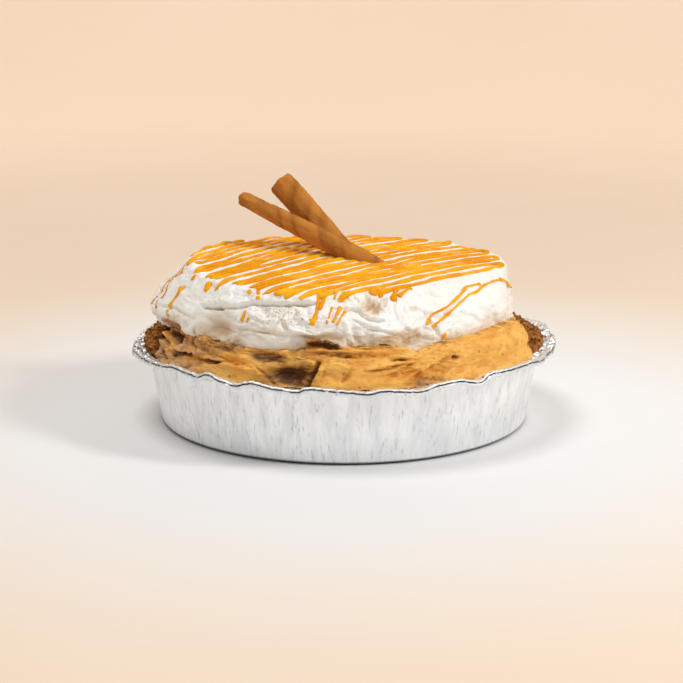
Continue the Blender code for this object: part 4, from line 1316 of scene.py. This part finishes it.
def build_quill(name, material):
    """A bark sheet rolled on itself, with rough edges, from its free end to its buried one."""
    free, buried, radii = QUILLS[name]
    free, buried = np.array(free), np.array(buried)
    axis = (buried - free) / np.linalg.norm(buried - free)
    across = np.cross(axis, (0.0, 0.0, 1.0))
    across /= np.linalg.norm(across)
    over = np.cross(across, axis)
    length = float(np.linalg.norm(buried - free))
    count = int(BARK_TURNS * BARK_TURN_POINTS) + 1
    turns = np.linspace(0.0, BARK_TURNS, count)[None, :]
    even = np.linspace(0.0, 1.0, BARK_ROWS)[:, None]
    share = blend(even, smooth(0.0, 1.0, even), 0.85)
    reach = np.interp(share, np.linspace(0.0, 1.0, len(radii)), radii)
    seed = 200 + len(name)
    run = share * length
    circle = 2 * math.pi * turns
    lumps = 0.4 * noise(run / 8.0, 2.0 * np.cos(circle), 2.0 * np.sin(circle), seed)
    fibres = 0.09 * noise(run / 12.0, turns * 22.0, 0.0, seed + 1)
    scars = 0.34 * creased(run / 4.0 + 2.2 * turns, turns * 3.0, 0.0, 2, seed + 2)
    worn = np.clip(1.0 - np.minimum(run, length - run) / BARK_WEAR, 0.0, 1.0)
    reach = reach - 0.5 * BARK_WEAR * (1.0 - np.sqrt(1.0 - worn * worn))
    thinned = reach / max(radii)
    outer = reach + lumps + fibres - scars - (BARK_THICKNESS + BARK_GAP) * thinned * turns
    inner = outer - BARK_THICKNESS * thinned
    start = QUILL_SEAM + 0.6 * noise(run / 30.0, 0.0, 0.0, seed + 3)
    spin = 2.0 * math.pi * turns + start
    ragged = 0.8 * noise(turns * 7.0, 0.0, 0.0, seed + 4) * (1.0 - smooth(0.0, 0.05, share))
    ring, spins, along = doubled(outer, inner), doubled(spin), run + doubled(ragged)
    points = (
        free + along[..., None] * axis
        + (ring * np.cos(spins))[..., None] * across + (ring * np.sin(spins))[..., None] * over
    )
    rows, columns = points.shape[:2]
    index = np.arange(rows * columns).reshape(rows, columns)
    after = np.roll(index, -1, axis=1)
    quads = np.stack([index[:-1], index[1:], after[1:], after[:-1]], axis=-1).reshape(-1, 4).tolist()
    for row, flip in ((index[0], False), (index[-1], True)):
        for step in range(count - 1):
            end = [row[step], row[step + 1], row[columns - 2 - step], row[columns - 1 - step]]
            quads.append([int(corner) for corner in (end[::-1] if flip else end)])
    mesh = bpy.data.meshes.new(name)
    mesh.from_pydata((points.reshape(-1, 3) * MM).tolist(), [], quads)
    mesh.update()
    sheet = mesh.uv_layers.new(name="sheet")
    both = doubled(turns) * 2.0 * math.pi * radii[2] * MM
    spots = np.stack([np.broadcast_to(both, (rows, columns)), along * MM], axis=-1).reshape(-1, 2)
    corners = np.empty(len(mesh.loops), dtype=np.int32)
    mesh.loops.foreach_get("vertex_index", corners)
    sheet.data.foreach_set("uv", spots[corners].astype(np.float32).ravel())
    # Painted shade on the roll's hidden turns and on its inner face
    inward = doubled(smooth(0.95, 1.3, turns), 0.0 * turns + 0.8)
    mark_points(mesh, "hollow_shade", np.broadcast_to(inward, (rows, columns)))
    mesh.shade_smooth()
    mesh.set_sharp_from_angle(angle=math.radians(50.0))
    mesh.materials.append(material)
    return linked(name + "_bark", mesh)


# Stage

def build_floor(material):
    """A plain pale floor that turns up far behind the pie."""
    profile = [(-3.0, 0.0), (1.4, 0.0)]
    profile += [
        (1.4 + 0.9 * math.sin(turn), 0.9 - 0.9 * math.cos(turn))
        for turn in map(math.radians, range(6, 91, 6))
    ]
    profile += [(2.3, 2.6)]
    places = [(x, y, z - 0.0001) for y, z in profile for x in (-3.2, 3.2)]
    faces = [(2 * n, 2 * n + 1, 2 * n + 3, 2 * n + 2) for n in range(len(profile) - 1)]
    mesh = bpy.data.meshes.new("pale_floor")
    mesh.from_pydata(places, [], faces)
    mesh.shade_smooth()
    mesh.materials.append(material)
    thing = linked("pale_floor", mesh)


def soft_light(name, place, target_height, size, power, tint):
    lamp = bpy.data.lights.new(name, "AREA")
    lamp.shape, lamp.size, lamp.energy, lamp.color = "DISK", size, power, tint
    thing = linked(name, lamp)
    thing.location = Vector(place)
    toward = Vector((0.0, 0.0, target_height)) - thing.location
    thing.rotation_euler = toward.to_track_quat("-Z", "Y").to_euler()


def light_and_camera():
    scene = bpy.context.scene
    scene.view_settings.view_transform = "Standard"
    scene.world = bpy.data.worlds.new("studio")
    scene.world.use_nodes = True
    tree = scene.world.node_tree
    fill(tree, tree.nodes["Background"], {"Color": colour(248, 245, 241), "Strength": AIR_STRENGTH})
    for settings in LAMPS:
        soft_light(*settings)
    lens = bpy.data.cameras.new("camera")
    lens.sensor_width, lens.lens, lens.clip_end = SENSOR, CAMERA_LENS, 20.0
    camera = linked("camera", lens)
    camera.location = [length * MM for length in CAMERA_PLACE]
    camera.rotation_euler = camera_turn()
    scene.camera = camera


def strew(name, ground, mark, density, seed, sizes, flatness, material, slot):
    """Grains on a piece, as many as mark says for each point's (x, y, z)."""
    copy = linked(name, ground.data.copy())
    mark_points(copy.data, "strewn", mark(*places_of(copy).T))
    grown(
        copy, bpy.data.node_groups["strewn_grains"], material,
        Density=density, Seed=seed, Smallest=sizes[0], Largest=sizes[1], Flatness=flatness,
    )
    placed(copy, slot)


def dust_on_front(x, y, z):
    front = spotted(np.degrees(np.arctan2(y, x)), z, STREWN_DUST)
    return np.where(np.hypot(x, y) > 75.0, front, 0.0)


def dust_on_top(x, y, z):
    patches = smooth(0.0, 0.6, noise(x / 24.0, y / 24.0, 0.0, 301))
    return patches * smooth(80.0, 86.0, z) + 0.12 * smooth(66.0, 80.0, z)


def crumbs_on_crust(x, y, z):
    return smooth(44.0, 46.0, z)


def crumbs_on_rim(x, y, z):
    angle = np.degrees(np.arctan2(y, x))
    ends = np.maximum(hump(apart(angle, -172.0), 16.0), hump(apart(angle, -4.0), 14.0))
    reach = np.hypot(x, y)
    inner = 1.0 - smooth(113.0, 118.0, reach)
    return np.where(z > 41.0, 0.08 + ends * (0.5 + 2.5 * inner), 0.0) * smooth(110.0, 112.0, reach)


def dress():
    """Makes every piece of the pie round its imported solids."""
    random = np.random.default_rng(11)
    for make in (make_mottle, make_grain, make_specks, scatter_tree):
        make()
    tin = placed(build_tin(foil_material()), "foil", "tin")
    crust = placed(build_crust(crust_material()), "crumb_crust", "crust")
    placed(build_filling(filling_material()), "pumpkin_filling", "filling")
    cream = placed(build_cream(cream_material()), "whipped_cream", "cream")
    meet = surface_of(cream)
    strands = top_strands(meet, random)
    strands += [strand(from_camera(meet, spots), width) for *spots, width in SEEN_RUNS]
    strands += [strand(from_outside(meet, stops), width) for *stops, width in RUNS]
    swept = grown(chains("drizzle", strands), sweep_tree(), drizzle_material())
    drizzle = placed(swept, "whipped_cream")
    spice, crumb, bark = spice_material(), crust_material(), bark_material()
    for name, ground, mark, density, seed, sizes in (
        ("cinnamon_on_cream", cream, dust_on_front, 260000.0, 3, (0.0001, 0.00026)),
        ("cinnamon_on_drizzle", drizzle, dust_on_top, 130000.0, 5, (0.0001, 0.00024)),
    ):
        strew(name, ground, mark, density, seed, sizes, 0.6, spice, "whipped_cream")
    for name, ground, mark, density, seed, sizes in (
        ("crust_crumbs", crust, crumbs_on_crust, 260000.0, 7, (0.0004, 0.0012)),
        ("rim_crumbs", tin, crumbs_on_rim, 16000.0, 9, (0.0003, 0.0011)),
    ):
        strew(name, ground, mark, density, seed, sizes, 0.8, crumb, "crumb_crust")
    for name in QUILLS:
        placed(build_quill(name, bark), "cinnamon_bark", name)
    build_floor(floor_material())
    light_and_camera()


dress()
